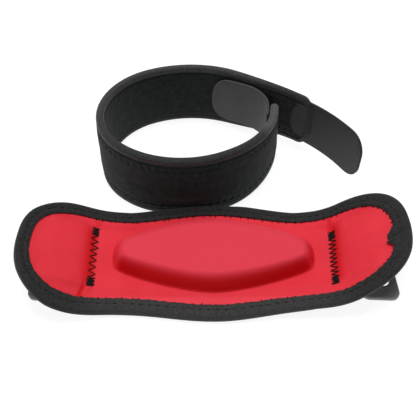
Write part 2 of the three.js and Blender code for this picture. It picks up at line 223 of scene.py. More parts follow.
# The pad's shell: the black brushed cloth of its underside, cut to the pad's outline. It lies on the
# ground in the middle, rises towards both ends, and is held at its edge by the binding.
GAP = 0.00025
TAPE = 0.001
PAD_LENGTH = 0.208
PAD_CAP = 0.042
PAD_CAP_POWER = 2.58
PAD_HALF_MIDDLE = 0.0356
PAD_HALF_WAIST = 0.032
PAD_WAIST_AT = 0.046
PAD_EDGE = TAPE + GAP
LAYER_SPLIT = 0.0001
SHELL_WALL = 0.0012
PAD_HALF_CORE = LAYER_SPLIT + SHELL_WALL
PAD_REST = PAD_HALF_CORE + GAP + TAPE
LEFT_LEGS = [(0.040, 0), (0.016, 7), (0.016, 20), (0.034, 2)]
RIGHT_LEGS = [(0.040, 0), (0.016, 7), (0.016, 26), (0.034, -14)]
LEFT_SWEEP, RIGHT_SWEEP = 0.0015, 0.008
SWEEP_FROM, SWEEP_RUN = 0.040, 0.060
LEFT_FULLNESS, FULLNESS_FROM, FULLNESS_TO = 0.12, 0.046, 0.086
RIGHT_NEAR_CURL, NEAR_CURL_RUN = 0.006, 0.050
FAR_CURL, FAR_CURL_RUN = 0.0032, 0.046
SHELL_ROWS, SHELL_COLUMNS = 201, 61
EDGE_SAMPLES = 6001
MM = 1000
WELD_WITHIN = 1e-7
TWILL_TURNS, SHELL_NAP_CELLS, SHELL_RELIEF = 5.2, 2600, 0.00018
SHELL_DARK, SHELL_LIGHT = (0.010, 0.010, 0.0105, 1), (0.024, 0.024, 0.025, 1)


def smoothstep(value, low, high):
    """0 under low, 1 over high, and 3t² − 2t³ of the share t between them."""
    t = np.clip((value - low) / (high - low), 0, 1)
    return t * t * (3 - 2 * t)


def between(value, start, full, fade, end):
    """0 up to the start, 1 from full to fade and 0 past the end: one smoothstep times 1 less another."""
    return smoothstep(value, start, full) * (1 - smoothstep(value, fade, end))


def bell(value, width):
    """1 at 0 and less on both sides: e to the minus square of the value over the width."""
    return np.exp(-((value / width) ** 2))


def walk(start, legs, distance):
    """Place and heading on a chain of tangent arcs. Each leg adds a chord of its run times sin(h)/h,
    in the direction of the heading plus h, where h is half the angle it turns; the last leg runs on."""
    x, y, heading = (np.full(np.shape(distance), value, float) for value in start)
    left = np.array(distance, float)
    for i, (length, turn) in enumerate(legs):
        run = np.clip(left, 0, None if i == len(legs) - 1 else length)
        half = np.radians(turn) * run / length / 2
        chord = run * np.sinc(half / np.pi)
        x = x + chord * np.cos(heading + half)
        y = y + chord * np.sin(heading + half)
        heading = heading + 2 * half
        left = left - run
    return x, y, heading


def on_pad(along, across, lift):
    """Place on the pad: along and across its flat pattern, and lifted off the middle of its layers.
    The side view is walked from the middle out to each end; the ends sweep back by the square of the
    distance, and the near and far edges curl up by the square of the distance across."""
    along, across, lift = np.broadcast_arrays(along, across, lift)
    reach = along - PAD_LENGTH / 2
    out = np.abs(reach)
    right = reach > 0
    ends = zip(walk((0, 0, 0), LEFT_LEGS, out), walk((0, 0, 0), RIGHT_LEGS, out))
    x, rise, heading = (np.where(right, second, first) for first, second in ends)
    swept = np.where(right, RIGHT_SWEEP, LEFT_SWEEP) * np.maximum((out - SWEEP_FROM) / SWEEP_RUN, 0) ** 2
    fuller = LEFT_FULLNESS * smoothstep(out, FULLNESS_FROM, FULLNESS_TO) * ~right * (across < 0)
    near = RIGHT_NEAR_CURL * np.minimum(out / NEAR_CURL_RUN, 1) ** 2 * right
    far = FAR_CURL * np.maximum(1 - (reach / FAR_CURL_RUN) ** 2, 0)
    curl = np.where(across < 0, near, far) * (across / PAD_HALF_MIDDLE) ** 2
    place = [np.sign(reach) * (x - lift * np.sin(heading))]
    place += [across * (1 + fuller) + swept, PAD_REST + rise + curl + lift * np.cos(heading)]
    return MIDDLE + np.stack(place, axis=-1)


def pad_half(along):
    """Half the pad's width: the waist, plus a cosine-squared swell at the middle."""
    reach = np.minimum(np.abs(along - PAD_LENGTH / 2), PAD_WAIST_AT)
    swell = np.cos(reach / PAD_WAIST_AT * np.pi / 2) ** 2
    return PAD_HALF_WAIST + (PAD_HALF_MIDDLE - PAD_HALF_WAIST) * swell


PAD = {"length": PAD_LENGTH, "caps": (PAD_CAP, PAD_CAP), "power": PAD_CAP_POWER, "half": pad_half}


def edge_point(piece, along, inset):
    """Along and across of a flat piece's edge, drawn in by an inset. Between the caps it is the half
    width less the inset; in a cap it is a superellipse, x to the power plus y to the power equals 1,
    as long as the cap and as wide as the cap's root, both less the inset."""
    first, last = piece["caps"]
    root = np.clip(along, first, piece["length"] - last)
    cap = np.where(along < root, first, last)
    share = np.clip((along - root) / cap, -1, 1)
    bulge = (1 - np.abs(share) ** piece["power"]) ** (1 / piece["power"])
    return root + share * (cap - inset), (piece["half"](root) - inset) * bulge


def stations(piece, count):
    """Distances along a flat piece that divide its edge evenly from end to end, and their pitch: the
    lengths of fine steps along the edge are added up and read back at even distances."""
    fine = piece["length"] * (1 - np.cos(np.linspace(0, np.pi, EDGE_SAMPLES))) / 2
    half = edge_point(piece, fine, 0)[1]
    walked = np.concatenate([[0], np.cumsum(np.hypot(np.diff(fine), np.diff(half)))])
    return np.interp(np.linspace(0, walked[-1], count), walked, fine), walked[-1] / (count - 1)


def quads_of(rows, columns, wrap_rows=False, wrap_columns=False):
    """Corner numbers of the faces of a grid; a wrapped direction joins its last line to its first."""
    number = np.arange(rows * columns).reshape(rows, columns)
    if wrap_rows:
        number = np.concatenate([number, number[:1]])
    if wrap_columns:
        number = np.concatenate([number, number[:, :1]], axis=1)
    corners = [number[:-1, :-1], number[1:, :-1], number[1:, 1:], number[:-1, 1:]]
    return np.stack(corners, axis=-1).reshape(-1, 4)


def make_piece(name, points, quads, flat, finish):
    """A closed smooth piece from points, faces and flat coordinates in metres, which the mesh keeps in
    millimetres. Corners that meet are merged, and faces that would point inwards are turned round."""
    a, b, c, d = (points[quads[:, i]] for i in range(4))
    volume = (a * np.cross(b, c)).sum() + (a * np.cross(c, d)).sum()
    quads = quads if volume > 0 else quads[:, ::-1]
    mesh = bpy.data.meshes.new(name)
    mesh.from_pydata(points.tolist(), [], quads.tolist())
    cut = (flat[quads] * MM).astype(np.float32)
    mesh.uv_layers.new(name="cut").data.foreach_set("uv", cut.ravel())
    mesh.polygons.foreach_set("use_smooth", np.ones(len(quads), bool))
    welded = bmesh.new()
    welded.from_mesh(mesh)
    bmesh.ops.remove_doubles(welded, verts=welded.verts, dist=WELD_WITHIN)
    welded.to_mesh(mesh)
    welded.free()
    mesh.materials.append(finish.material)
    made = bpy.data.objects.new(name, mesh)
    scene.collection.objects.link(made)
    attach(made, "root")
    return made


def cloth(name, upper, lower, flat, finish):
    """A closed piece of cloth: two faces over one grid of flat coordinates, which meet along its edge."""
    rows, columns = flat.shape[:2]
    face = quads_of(rows, columns)
    points = np.concatenate([upper.reshape(-1, 3), lower.reshape(-1, 3)])
    quads = np.concatenate([face, face[:, ::-1] + rows * columns])
    return make_piece(name, points, quads, np.tile(flat.reshape(-1, 2), (2, 1)), finish)


def laid(name, place, grid, lifts, finish):
    """A piece of cloth by a placing function: its grid of along and across, at the lifts of both faces."""
    upper, lower = (place(*grid, lift) for lift in lifts)
    return cloth(name, upper, lower, np.stack(grid, axis=-1), finish)


def flat_grid(piece, inset, rows, columns):
    """Grid of along and across over a flat piece, row by row from end to end, and the area it covers: its
    widths times the steps along, added up."""
    along, half = edge_point(piece, stations(piece, rows)[0], inset)
    across = half[:, None] * np.linspace(-1, 1, columns)
    area = float(np.trapz(2 * half, along))
    return np.broadcast_to(along[:, None], across.shape), across, area


def rim(columns, power=24):
    """1 over a sheet and 0 at its two long edges, so that its faces meet there: the root of 1 less a
    power of the share of the way to the edge."""
    return np.sqrt(1 - np.linspace(-1, 1, columns) ** power)


along, across, pad_area = flat_grid(PAD, PAD_EDGE, SHELL_ROWS, SHELL_COLUMNS)
shell_middle = -LAYER_SPLIT - SHELL_WALL / 2
shell_half = SHELL_WALL / 2 * rim(SHELL_COLUMNS)

shell_finish = Finish("brushed_black", {"Roughness": 0.95, "Sheen Weight": 0.25, "Sheen Roughness": 0.5})
u, v = shell_finish.cut()
twill = ((u + v) * TWILL_TURNS).wave()
nap_and_painted_light = shell_finish.noise(SHELL_NAP_CELLS, 3)
brushed = shell_finish.mix(nap_and_painted_light * 0.7 + twill * 0.3, SHELL_DARK, SHELL_LIGHT)
shell_finish.surface(brushed, twill * 0.5 + nap_and_painted_light * 0.5, SHELL_RELIEF, 0.7)

shell_lifts = (shell_middle + shell_half, shell_middle - shell_half)
shell = laid("pad_shell_cloth", on_pad, (along, across), shell_lifts, shell_finish)
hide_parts("pad_shell")


# The pressure pad: a firm moulded foam cushion with a blunt-ended boat shape. It lies between the shell
# and the lining, which is moulded over it.
LINING_WALL = 0.0012
LINING_PUFF = 0.0009
PUFF_FROM, PUFF_RUN = 0.0085, 0.006
BUMP_HALF_LENGTH = 0.0535
BUMP_NEAR_HALF, BUMP_NEAR_NARROWING, BUMP_NEAR_POWER = 0.0217, 0.0145, 1.65
BUMP_FAR_HALF, BUMP_FAR_NARROWING, BUMP_FAR_POWER = 0.0262, 0.0160, 1.85
BUMP_NEAR_WALL, BUMP_FAR_WALL, BUMP_END_WALL = 0.0062, 0.0122, 0.0090
BUMP_NEAR_SHOULDER, BUMP_FAR_SHOULDER, BUMP_END_SHOULDER = 2.6, 1.7, 3.0
BUMP_HEIGHT, BUMP_FOOT, BUMP_END_BULGE = 0.0110, 1.2, 0.0015
SEAM_AT, LEFT_SEAM_LEAN, RIGHT_SEAM_LEAN = 0.0637, 0.050, 0.095
SEAM_HALF_LENGTH = 0.0175
SEWN_FULL, SEWN_END = SEAM_HALF_LENGTH - 0.001, SEAM_HALF_LENGTH + 0.004
SEAM_DIP, SEAM_DIP_WIDTH = 0.0005, 0.0024
PUCKER, PUCKER_PITCH, PUCKER_WIDTH = 0.00011, 0.0023, 0.0042
SWELL, SWELL_SPAN = 0.0012, (0.0645, 0.0735, 0.0735, 0.0920)
SLOPE_STEP = 0.0005
FOLD_ENDS = (-0.3, 0.2, 0.8, 1.3)
# Soft folds in the lining: from and to (reach, across), height, half width
LINING_FOLDS = [
    ((-0.0634, -0.0200), (-0.0664, -0.0280), 0.0011, 0.0016),
    ((-0.0657, -0.0175), (-0.0692, -0.0285), -0.0011, 0.0012),
    ((0.0622, 0.0150), (0.0602, 0.0250), 0.0009, 0.0012),
    ((0.0645, 0.0150), (0.0650, 0.0240), -0.0008, 0.0014),
    ((-0.0635, 0.0190), (-0.0640, 0.0255), -0.0005, 0.0015),
]
CUSHION_ROWS, CUSHION_COLUMNS, CUSHION_INSET = 81, 41, 0.003
FOAM_CELLS, FOAM_RELIEF = 1400, 0.0003
FOAM_DARK, FOAM_LIGHT = (0.045, 0.045, 0.047, 1), (0.085, 0.085, 0.088, 1)


def bump_sides(along):
    """Distances from the pad's middle line to the cushion's near and far sides: full at the middle, less
    by a power of the share towards its ends."""
    share = np.minimum(np.abs(along - PAD_LENGTH / 2) / BUMP_HALF_LENGTH, 1)
    near = BUMP_NEAR_HALF - BUMP_NEAR_NARROWING * share**BUMP_NEAR_POWER
    return near, BUMP_FAR_HALF - BUMP_FAR_NARROWING * share**BUMP_FAR_POWER


def bump_wall(inside, run, shoulder):
    """Share of the cushion's height at a distance inside one of its sides: 1 less a power of the share of
    the wall's run still to go, which rounds the shoulder, raised to a power that eases the foot."""
    return (1 - (1 - np.clip(inside / run, 0, 1)) ** shoulder) ** BUMP_FOOT


def bump_share(along, across):
    """Share of the cushion's height: the product of its near, far and end walls. Its ends bow out by the
    square of the distance from the middle of the end."""
    near, far = bump_sides(along)
    off_middle = (2 * across - far + near) / (far + near)
    bowed = BUMP_END_BULGE * np.minimum(off_middle**2, 1)
    from_end = BUMP_HALF_LENGTH - np.abs(along - PAD_LENGTH / 2) - bowed
    share = bump_wall(near + across, BUMP_NEAR_WALL, BUMP_NEAR_SHOULDER)
    share = share * bump_wall(far - across, BUMP_FAR_WALL, BUMP_FAR_SHOULDER)
    return share * bump_wall(from_end, BUMP_END_WALL, BUMP_END_SHOULDER)


def seam_out(reach, across):
    """Distance of a seam from the pad's middle: it leans out by a share of the distance across."""
    return SEAM_AT + np.where(reach > 0, RIGHT_SEAM_LEAN, LEFT_SEAM_LEAN) * across


def fold_height(reach, across, fold):
    """A soft fold along a line: its height times a bell of the distance from the line, faded at the ends."""
    (x0, y0), (x1, y1), height, width = fold
    length = np.hypot(x1 - x0, y1 - y0)
    on = ((reach - x0) * (x1 - x0) + (across - y0) * (y1 - y0)) / length**2
    off = ((reach - x0) * (y1 - y0) - (across - y0) * (x1 - x0)) / length
    return height * bell(off, width) * between(on, *FOLD_ENDS)


def lining_face(along, across):
    """Height of the lining over the middle of the layers: its edge, a puffed field, the cushion, a
    swell outside each seam, a dip with puckers along it, and the soft folds."""
    reach = along - PAD_LENGTH / 2
    out = np.abs(reach)
    beside = np.abs(across)
    field = edge_point(PAD, along, PUFF_FROM)[1]
    tip = smoothstep(PAD_LENGTH / 2 - PUFF_FROM - out, 0, 2 * PUFF_RUN)
    puff = tip * smoothstep(field - beside, 0, PUFF_RUN)
    sewn = 1 - smoothstep(beside, SEWN_FULL, SEWN_END)
    off_seam = out - seam_out(reach, across)
    raised = SWELL * between(out, *SWELL_SPAN) - SEAM_DIP * bell(off_seam, SEAM_DIP_WIDTH)
    pucker = np.cos(across / PUCKER_PITCH * np.pi) * bell(off_seam, PUCKER_WIDTH)
    folds = sum(fold_height(reach, across, fold) for fold in LINING_FOLDS) * puff
    height = PAD_HALF_CORE + LINING_PUFF * puff + BUMP_HEIGHT * bump_share(along, across) + folds
    return height + sewn * (raised + PUCKER * pucker)


def lining_slopes(along, across):
    """How steeply the lining climbs along and across the pad: its height a step ahead less its height a
    step behind, over the two steps."""
    ahead = lining_face(along + SLOPE_STEP, across) - lining_face(along - SLOPE_STEP, across)
    aside = lining_face(along, across + SLOPE_STEP) - lining_face(along, across - SLOPE_STEP)
    return ahead / (2 * SLOPE_STEP), aside / (2 * SLOPE_STEP)


def lining_back(along, across):
    """The lining's back: its face less the wall, thickened by the slope so that the cloth is even."""
    slant, climb = lining_slopes(along, across)
    return lining_face(along, across) - LINING_WALL * np.sqrt(1 + slant**2 + climb**2)


cushion_share = np.sin(np.linspace(-np.pi / 2, np.pi / 2, CUSHION_ROWS))
cushion_along = (PAD_LENGTH / 2 + (BUMP_HALF_LENGTH - CUSHION_INSET) * cushion_share)[:, None]
cushion_near, cushion_far = bump_sides(cushion_along)
cushion_half = (cushion_near + cushion_far) / 2 - CUSHION_INSET
cushion_sweep = np.sin(np.linspace(-np.pi / 2, np.pi / 2, CUSHION_COLUMNS))
cushion_across = (cushion_far - cushion_near) / 2 + cushion_half * cushion_sweep
cushion_along = np.broadcast_to(cushion_along, cushion_across.shape)
cushion_base = np.full(cushion_across.shape, GAP - LAYER_SPLIT)
cushion_top = lining_back(cushion_along, cushion_across) - GAP
cushion_top[[0, -1]] = cushion_base[[0, -1]]
cushion_top[:, [0, -1]] = cushion_base[:, [0, -1]]

foam_finish = Finish("grey_foam", {"Roughness": 1.0})
foam_inputs = {"Vector": foam_finish.place(), "Scale": FOAM_CELLS}
cells = foam_finish.node("ShaderNodeTexVoronoi", {"feature": "F1"}, foam_inputs)
foam_finish.surface(foam_finish.mix(cells, FOAM_DARK, FOAM_LIGHT), cells, FOAM_RELIEF, 0.6)

cushion_grid, cushion_lifts = (cushion_along, cushion_across), (cushion_top, cushion_base)
cushion = laid("pressure_pad_foam", on_pad, cushion_grid, cushion_lifts, foam_finish)
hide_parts("pressure_pad")


# The lining: the red, foam-backed stretch cloth that touches the arm. It is moulded up over the pressure
# pad, puffed inside the binding, and drawn down where the ring tabs are sewn through it.
RED, RED_DEEP, RED_PALE = (0.77, 0.032, 0.050, 1), (0.72, 0.027, 0.042, 1), (0.81, 0.038, 0.060, 1)
# These colours and shares paint light and shade on the lining: painted shade and painted light by slope,
# crease, seam and near strip, and a painted highlight on the cushion's top.
RED_PAINTED_SHADE, RED_PAINTED_LIGHT = (0.58, 0.001, 0.002, 1), (0.84, 0.056, 0.083, 1)
PAINTED_SHADE_SHARE = 0.92
RED_TOP_SHEEN, TOP_SHEEN_SHARE, TOP_FROM, TOP_FULL = (0.745, 0.0450, 0.0745, 1), 0.9, 0.20, 1.0
DARK_FROM, DARK_FULL, PALE_FROM, PALE_FULL = 0.35, 2.9, 0.25, 1.5
LEFT_END_DARK, RIGHT_END_DARK = 0.30, 0.80
SEAM_BAND_SPAN = (-0.0030, 0.0008, 0.0008, 0.0078)
SEAM_BAND_DARK, CREASE_DEPTH, CREASE_DARK = 1.0, 0.0010, 1.0
SEAM_BAND_LONG, SEAM_BAND_END = SEAM_HALF_LENGTH - 0.004, SEAM_HALF_LENGTH + 0.005
STRIP_PALE, STRIP_FROM, STRIP_FULL, STRIP_FADE, STRIP_END = 0.75, 0.0225, 0.0255, 0.045, 0.062
LINING_ROWS, LINING_COLUMNS = 331, 141
KNIT_WALE, KNIT_COURSE, KNIT_LEAN, KNIT_SHARE = 2 * np.pi / 0.62, 2 * np.pi / 0.50, 0.8, 0.35
CLOUD_CELLS, SPECKLE_CELLS, LINING_RELIEF = 70, 1500, 0.00007

lining_finish = Finish("red_lining", {"Roughness": 0.62, "Specular IOR Level": 0.12})
u, v = lining_finish.cut()
wale = (u * KNIT_WALE).sine()
course = (v * KNIT_COURSE + wale * KNIT_LEAN).sine()
knit = wale * course * 0.5 + 0.5
cloudy = lining_finish.range(lining_finish.noise(CLOUD_CELLS, 3), 0.3, 0.7)
speckle = lining_finish.noise(SPECKLE_CELLS, 2)
shaded = lining_finish.mix(cloudy * 0.6 + speckle * 0.4, RED_DEEP, RED_PALE)
shaded = lining_finish.mix(knit * KNIT_SHARE, shaded, RED)
# Painted highlight: the cushion's top is painted a paler pink, for the sheen of the light from above.
top = lining_finish.node("ShaderNodeAttribute", {"attribute_name": "top"}, {}, "Fac")
shaded = lining_finish.mix(top * TOP_SHEEN_SHARE, shaded, RED_TOP_SHEEN)
# Painted light and shade: the attribute read here paints the red darker where the lining faces the near
# side, in its creases and by the seams, and paler on slopes that fall away and along the near strip.
nap_and_painted_light = lining_finish.node("ShaderNodeAttribute", {"attribute_name": "nap_and_painted_light"}, {}, "Fac")
shaded = lining_finish.mix(nap_and_painted_light.positive() * PAINTED_SHADE_SHARE, shaded, RED_PAINTED_SHADE)
shaded = lining_finish.mix((0.0 - nap_and_painted_light).positive(), shaded, RED_PAINTED_LIGHT)
lining_finish.surface(shaded, knit * 0.6 + speckle * 0.4, LINING_RELIEF, 0.6)

along, across, _ = flat_grid(PAD, PAD_EDGE, LINING_ROWS, LINING_COLUMNS)
lining_lower = lining_back(along, across)
lining_wall = lining_face(along, across) - lining_lower
lining_rim = rim(LINING_COLUMNS, power=60)
lining_lifts = [lining_lower + lining_wall * (0.5 + face * lining_rim) for face in (0.5, -0.5)]
lining = laid("pad_lining_cloth", on_pad, (along, across), lining_lifts, lining_finish)


def lining_painted_light(along, across):
    """Painted light and shade on the lining: 1, painted shade, on slopes that face the near side, on the
    cushion's ends, in the creases and in a band by each seam, whichever is most; less than 0, painted light,
    down to
    -1, on slopes that fall away from the near side and in a strip along it."""
    slant, climb = lining_slopes(along, across)
    reach = along - PAD_LENGTH / 2
    out = np.abs(reach)
    facing = smoothstep(climb, DARK_FROM, DARK_FULL)
    facing = np.maximum(facing, LEFT_END_DARK * smoothstep(slant, DARK_FROM, DARK_FULL))
    facing = np.maximum(facing, RIGHT_END_DARK * smoothstep(-slant, DARK_FROM, DARK_FULL))
    beside = 1 - smoothstep(np.abs(across), SEAM_BAND_LONG, SEAM_BAND_END)
    band = between(out - seam_out(reach, across), *SEAM_BAND_SPAN)
    crease = -sum(np.minimum(fold_height(reach, across, fold), 0) for fold in LINING_FOLDS) / CREASE_DEPTH
    dark = np.maximum(facing, SEAM_BAND_DARK * band * beside)
    dark = np.maximum(dark, CREASE_DARK * np.minimum(crease, 1))
    strip = smoothstep(-across, STRIP_FROM, STRIP_FULL) * (1 - smoothstep(out, STRIP_FADE, STRIP_END))
    return dark - (1 - dark) * np.maximum(smoothstep(-climb, PALE_FROM, PALE_FULL), STRIP_PALE * strip)


lining_cut = np.empty(2 * len(lining.data.loops), np.float32)
lining.data.uv_layers["cut"].data.foreach_get("uv", lining_cut)
lining_at = lining_cut.reshape(-1, 2).T.astype(float) / MM
# The lining's painted light and shade, and the painted highlight on the cushion's top, are kept on its
# corners for its finish.
lining_shares = {
    "nap_and_painted_light": lining_painted_light(*lining_at),
    "top": smoothstep(bump_share(*lining_at), TOP_FROM, TOP_FULL),
}
for share_name, share in lining_shares.items():
    layer = lining.data.attributes.new(share_name, "FLOAT", "CORNER")
    layer.data.foreach_set("value", share.astype(np.float32))
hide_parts("pad_lining")


# The seams: one line of black zigzag at each end of the cushion, locked with a dense bar tack at both
# of its ends. They sew the ring tabs on, through the lining and the shell.
THREAD_RADIUS = 0.00026
THREAD_SIDES = 8
ZIGZAG_STEPS = 9
TACK_LENGTH, TACK_PITCH = 0.0055, 0.00046
# Side of the pad, top and bottom across it, half width of the zigzag, pitch of its needle holes
ZIGZAGS = {"left": (-1, 0.0184, -0.0185, 0.0022, 0.0021), "right": (1, 0.0143, -0.0198, 0.0023, 0.0014)}
NEEDLE_DRIFT = 0.00018
THREAD_BOW, THREAD_BOW_POWER = 2.2, 0.6
UP_STEP, LEAST_LENGTH = 0.001, 1e-12
PLY_SLANT, PLY_TURNS, PLY_RELIEF = 0.5, 9.0, 0.0001
THREAD_DARK, THREAD_LIGHT = (0.0022, 0.0022, 0.0024, 1), (0.0065, 0.0065, 0.007, 1)

thread_finish = Finish("black_thread", {"Roughness": 0.8, "Specular IOR Level": 0.25})
u, v = thread_finish.cut()
ply = ((u + v * PLY_SLANT) * PLY_TURNS).wave()
thread_finish.surface(thread_finish.mix(ply, THREAD_DARK, THREAD_LIGHT), ply, PLY_RELIEF, 0.6)


def unit(vectors):
    """Vectors over their lengths."""
    return vectors / np.maximum(np.linalg.norm(vectors, axis=-1, keepdims=True), LEAST_LENGTH)


def threads(name, paths, ups, radius, finish, end_power=8):
    """Tubes along many paths at once: a circle about each point, in the plane of its up direction and
    of up crossed with the path's direction. Its radius closes to a point at both ends by the root of 1
    less a power of the share of the way to the end."""
    count, steps = paths.shape[:2]
    ahead = unit(np.gradient(paths, axis=1))
    aside = unit(np.cross(ahead, ups))
    over = np.cross(aside, ahead)
    turn = np.arange(THREAD_SIDES) / THREAD_SIDES * 2 * np.pi
    full = np.sqrt(1 - np.linspace(-1, 1, steps) ** end_power)[None, :, None, None] * radius
    circle = np.cos(turn)[:, None] * over[:, :, None] + np.sin(turn)[:, None] * aside[:, :, None]
    points = paths[:, :, None] + full * circle
    one = quads_of(steps, THREAD_SIDES, wrap_columns=True)
    quads = (one + np.arange(count)[:, None, None] * steps * THREAD_SIDES).reshape(-1, 4)
    length = np.cumsum(np.linalg.norm(np.diff(paths, axis=1, prepend=paths[:, :1]), axis=-1), axis=1)
    flat = np.stack(np.broadcast_arrays(length[:, :, None], turn * radius), axis=-1)
    return make_piece(name, points.reshape(-1, 3), quads, flat.reshape(-1, 2), finish)


def needle_line(top, bottom, pitch):
    """Where the needle goes through down a seam: close steps in each bar tack, wide steps between."""
    tack = np.full(int(TACK_LENGTH / TACK_PITCH), TACK_PITCH)
    middle = top - bottom - 2 * tack.sum()
    open_steps = np.full(round(middle / pitch), middle / round(middle / pitch))
    return top - np.concatenate([[0], np.cumsum(np.concatenate([tack, open_steps, tack]))])


def zigzag(side, top, bottom, half, pitch, seed):
    """A zigzag thread: straight from needle hole to needle hole, alternately on either side of the seam,
    raised off the cloth by a power of a half sine between holes and sunk into it at each hole."""
    chance = np.random.default_rng(seed)
    down = needle_line(top, bottom, pitch)
    drift = chance.normal(0, NEEDLE_DRIFT, (2, len(down)))
    hole_across = down + drift[0]
    number = np.arange(len(down))
    hole_reach = seam_out(side, hole_across) + half * np.where(number % 2, -1, 1) + drift[1]
    hole = np.linspace(0, number[-1], number[-1] * ZIGZAG_STEPS + 1)
    reach = np.interp(hole, number, hole_reach)
    across = np.interp(hole, number, hole_across)
    along = PAD_LENGTH / 2 + side * reach
    bow = THREAD_BOW * np.abs(np.sin(hole * np.pi)) ** THREAD_BOW_POWER
    lift = lining_face(along, across) + THREAD_RADIUS * (bow - 1.0)
    path = on_pad(along, across, lift)
    return path[None], unit(on_pad(along, across, lift + UP_STEP) - path)[None]


for seed, (end, (side, top, bottom, half, pitch)) in enumerate(ZIGZAGS.items()):
    path, up = zigzag(side, top, bottom, half, pitch, seed)
    seam = threads(f"seam_{end}", path, up, THREAD_RADIUS, thread_finish, end_power=400)


# The pad's binding: charcoal stretch tape folded over the edges of the lining and the shell, all the way
# round, with its ends lapped at the right tip. A row of lockstitch holds both its faces, and short
# stitches over its inner edge catch it to the lining.
PAD_TAPE_COVER = 0.007
PAD_TAPE_NOSE = 0.0026
PAD_TAPE_BULGE, PAD_TAPE_TIP_BULGE, PAD_TAPE_LEFT_DRAWN = 0.0010, 0.0004, 0.0013
STRAP_MEETS_AT, STRAP_MEETS = 0.008, (0.014, 0.028)
PAD_TAPE_STATIONS = 361
NOSE_POWER = 2.3
NOSE_STEPS, COVER_STEPS, INSIDE_STEPS = 17, 15, 5
TIP_ROLL_SPAN = (-0.055, -0.030, -0.002, 0.012)
LEFT_DRAWN_FROM, LEFT_DRAWN_TO = 0.080, 0.098
TAPE_EDGE_DIP, TAPE_EDGE_RUN = 0.0004, 0.0016
RIB_ALONG, RIB_ACROSS = 7.4, 9.8
TAPE_CLOUD_CELLS, TAPE_FUZZ_CELLS, TAPE_RELIEF = 900, 2600, 0.00022
TAPE_DARK, TAPE_LIGHT = (0.0010, 0.0011, 0.0011, 1), (0.0235, 0.0238, 0.0238, 1)
# A paler colour painted along the middle of the pad tape's near edge: painted light.
TAPE_PAINTED_LIGHT, NEAR_LIGHT_AT, NEAR_LIGHT_FULL, NEAR_LIGHT_TO = (0.036, 0.0362, 0.0362, 1), 370, 40, 85
JOIN_TONGUE, JOIN_SPAN = 0.0042, (-0.0030, 0.0075, 0.0130, 0.0165)
JOIN_LAP, JOIN_LAP_AT, JOIN_LAP_SLANT, JOIN_LAP_INSET = 0.0009, 0.0072, 1.1, 0.0035
JOIN_LAP_SPAN = (-0.0003, 0.0003, 0.003, 0.014)
JOIN_CREASE, JOIN_CREASE_WIDTH, JOIN_CREASE_FROM, JOIN_CREASE_FULL = 0.0012, 0.0010, 0.0018, 0.0034
STITCH_INSET = 0.0039
STITCH_GROOVE, STITCH_GROOVE_WIDTH = 0.00045, 0.0009
STITCH_PITCH, STITCH_LENGTH, STITCH_STEPS = 0.0042, 0.0025, 7
STITCH_THREAD, STITCH_BOW, STITCH_SUNK, STITCH_DIMPLE = 0.00022, 1.1, 0.9, 0.4
RIPPLE, RIPPLE_WAVES = 0.00013, ((880, 0.0), (1370, 1.3), (410, 0.0))
TICK_RADIUS, TICK_START, TICK_REACH, TICK_PITCH, TICKS_FROM = 0.00022, 0.0009, 0.0012, 0.0043, 0.036
TICK_DRIFT, TICK_SLANT, TICK_UNEVEN = 0.22, 0.0006, (0.7, 1.3)
TICK_SUNK, TICK_DOWN, TICK_BOW, TICK_SEED = 0.0003, (0.25, 0.75), 1.4, 5


def signed_power(value, power):
    """A power of a value's size, with the value's own sign."""
    return np.sign(value) * np.abs(value) ** power


def tape_section(cover, nose, bulge, outside, wall):
    """The tape's section as a closed loop of inset and lift: flat over the top, a superellipse round the
    edge and flat underneath, then the same back inside, one wall further in."""
    turn = np.linspace(np.pi / 2, -np.pi / 2, NOSE_STEPS)[1:-1]
    swing = np.cos(turn) ** (2 / NOSE_POWER)
    climb = signed_power(np.sin(turn), 2 / NOSE_POWER)
    flat = np.linspace(cover, nose, COVER_STEPS)
    inner = np.linspace(cover, nose, INSIDE_STEPS)
    inside = outside - wall
    inset = [flat, nose - (nose + bulge) * swing, flat[::-1]]
    lift = [np.full(COVER_STEPS, outside), outside * climb, np.full(COVER_STEPS, -outside)]
    inset += [inner, nose - (nose + bulge - wall) * swing[::-1], inner[::-1]]
    lift += [np.full(INSIDE_STEPS, -inside), inside * climb[::-1], np.full(INSIDE_STEPS, inside)]
    return np.concatenate(inset), np.concatenate(lift)


def tape_width(cover, nose, outside):
    """Width of the unfolded tape: both flat covers and half the ellipse round the edge."""
    return float(2 * (cover - nose) + np.pi * (nose + outside) / 2)


def outline_of(piece, count):
    """Stations round a flat piece, out along its positive side and back along the other: distance along,
    side, distance walked, and distance past the far tip."""
    along, pitch = stations(piece, count)
    side = np.concatenate([np.ones(count), -np.ones(count - 2)])
    walked = np.arange(len(side)) * pitch
    return np.concatenate([along, along[-2:0:-1]]), side, walked, walked - (count - 1) * pitch


def tape(name, piece, place, section, count, shape, finish):
    """A tape folded round a flat piece: its section is carried along the outline, and shape gives what
    is added to its inset and lift at each station and each point of the section."""
    along, side, walked, past_tip = (line[:, None] for line in outline_of(piece, count))
    inset, lift = section
    more_inset, more_lift = shape(along, side, walked, past_tip, inset, lift)
    rail_along, half = edge_point(piece, along, inset + more_inset)
    points = place(rail_along, side * half, lift + more_lift)
    around = np.cumsum(np.hypot(np.diff(inset, prepend=inset[0]), np.diff(lift, prepend=lift[0])))
    flat = np.stack(np.broadcast_arrays(walked, around), axis=-1)
    quads = quads_of(len(side), len(lift), True, True)
    return make_piece(name, points.reshape(-1, 3), quads, flat.reshape(-1, 2), finish)


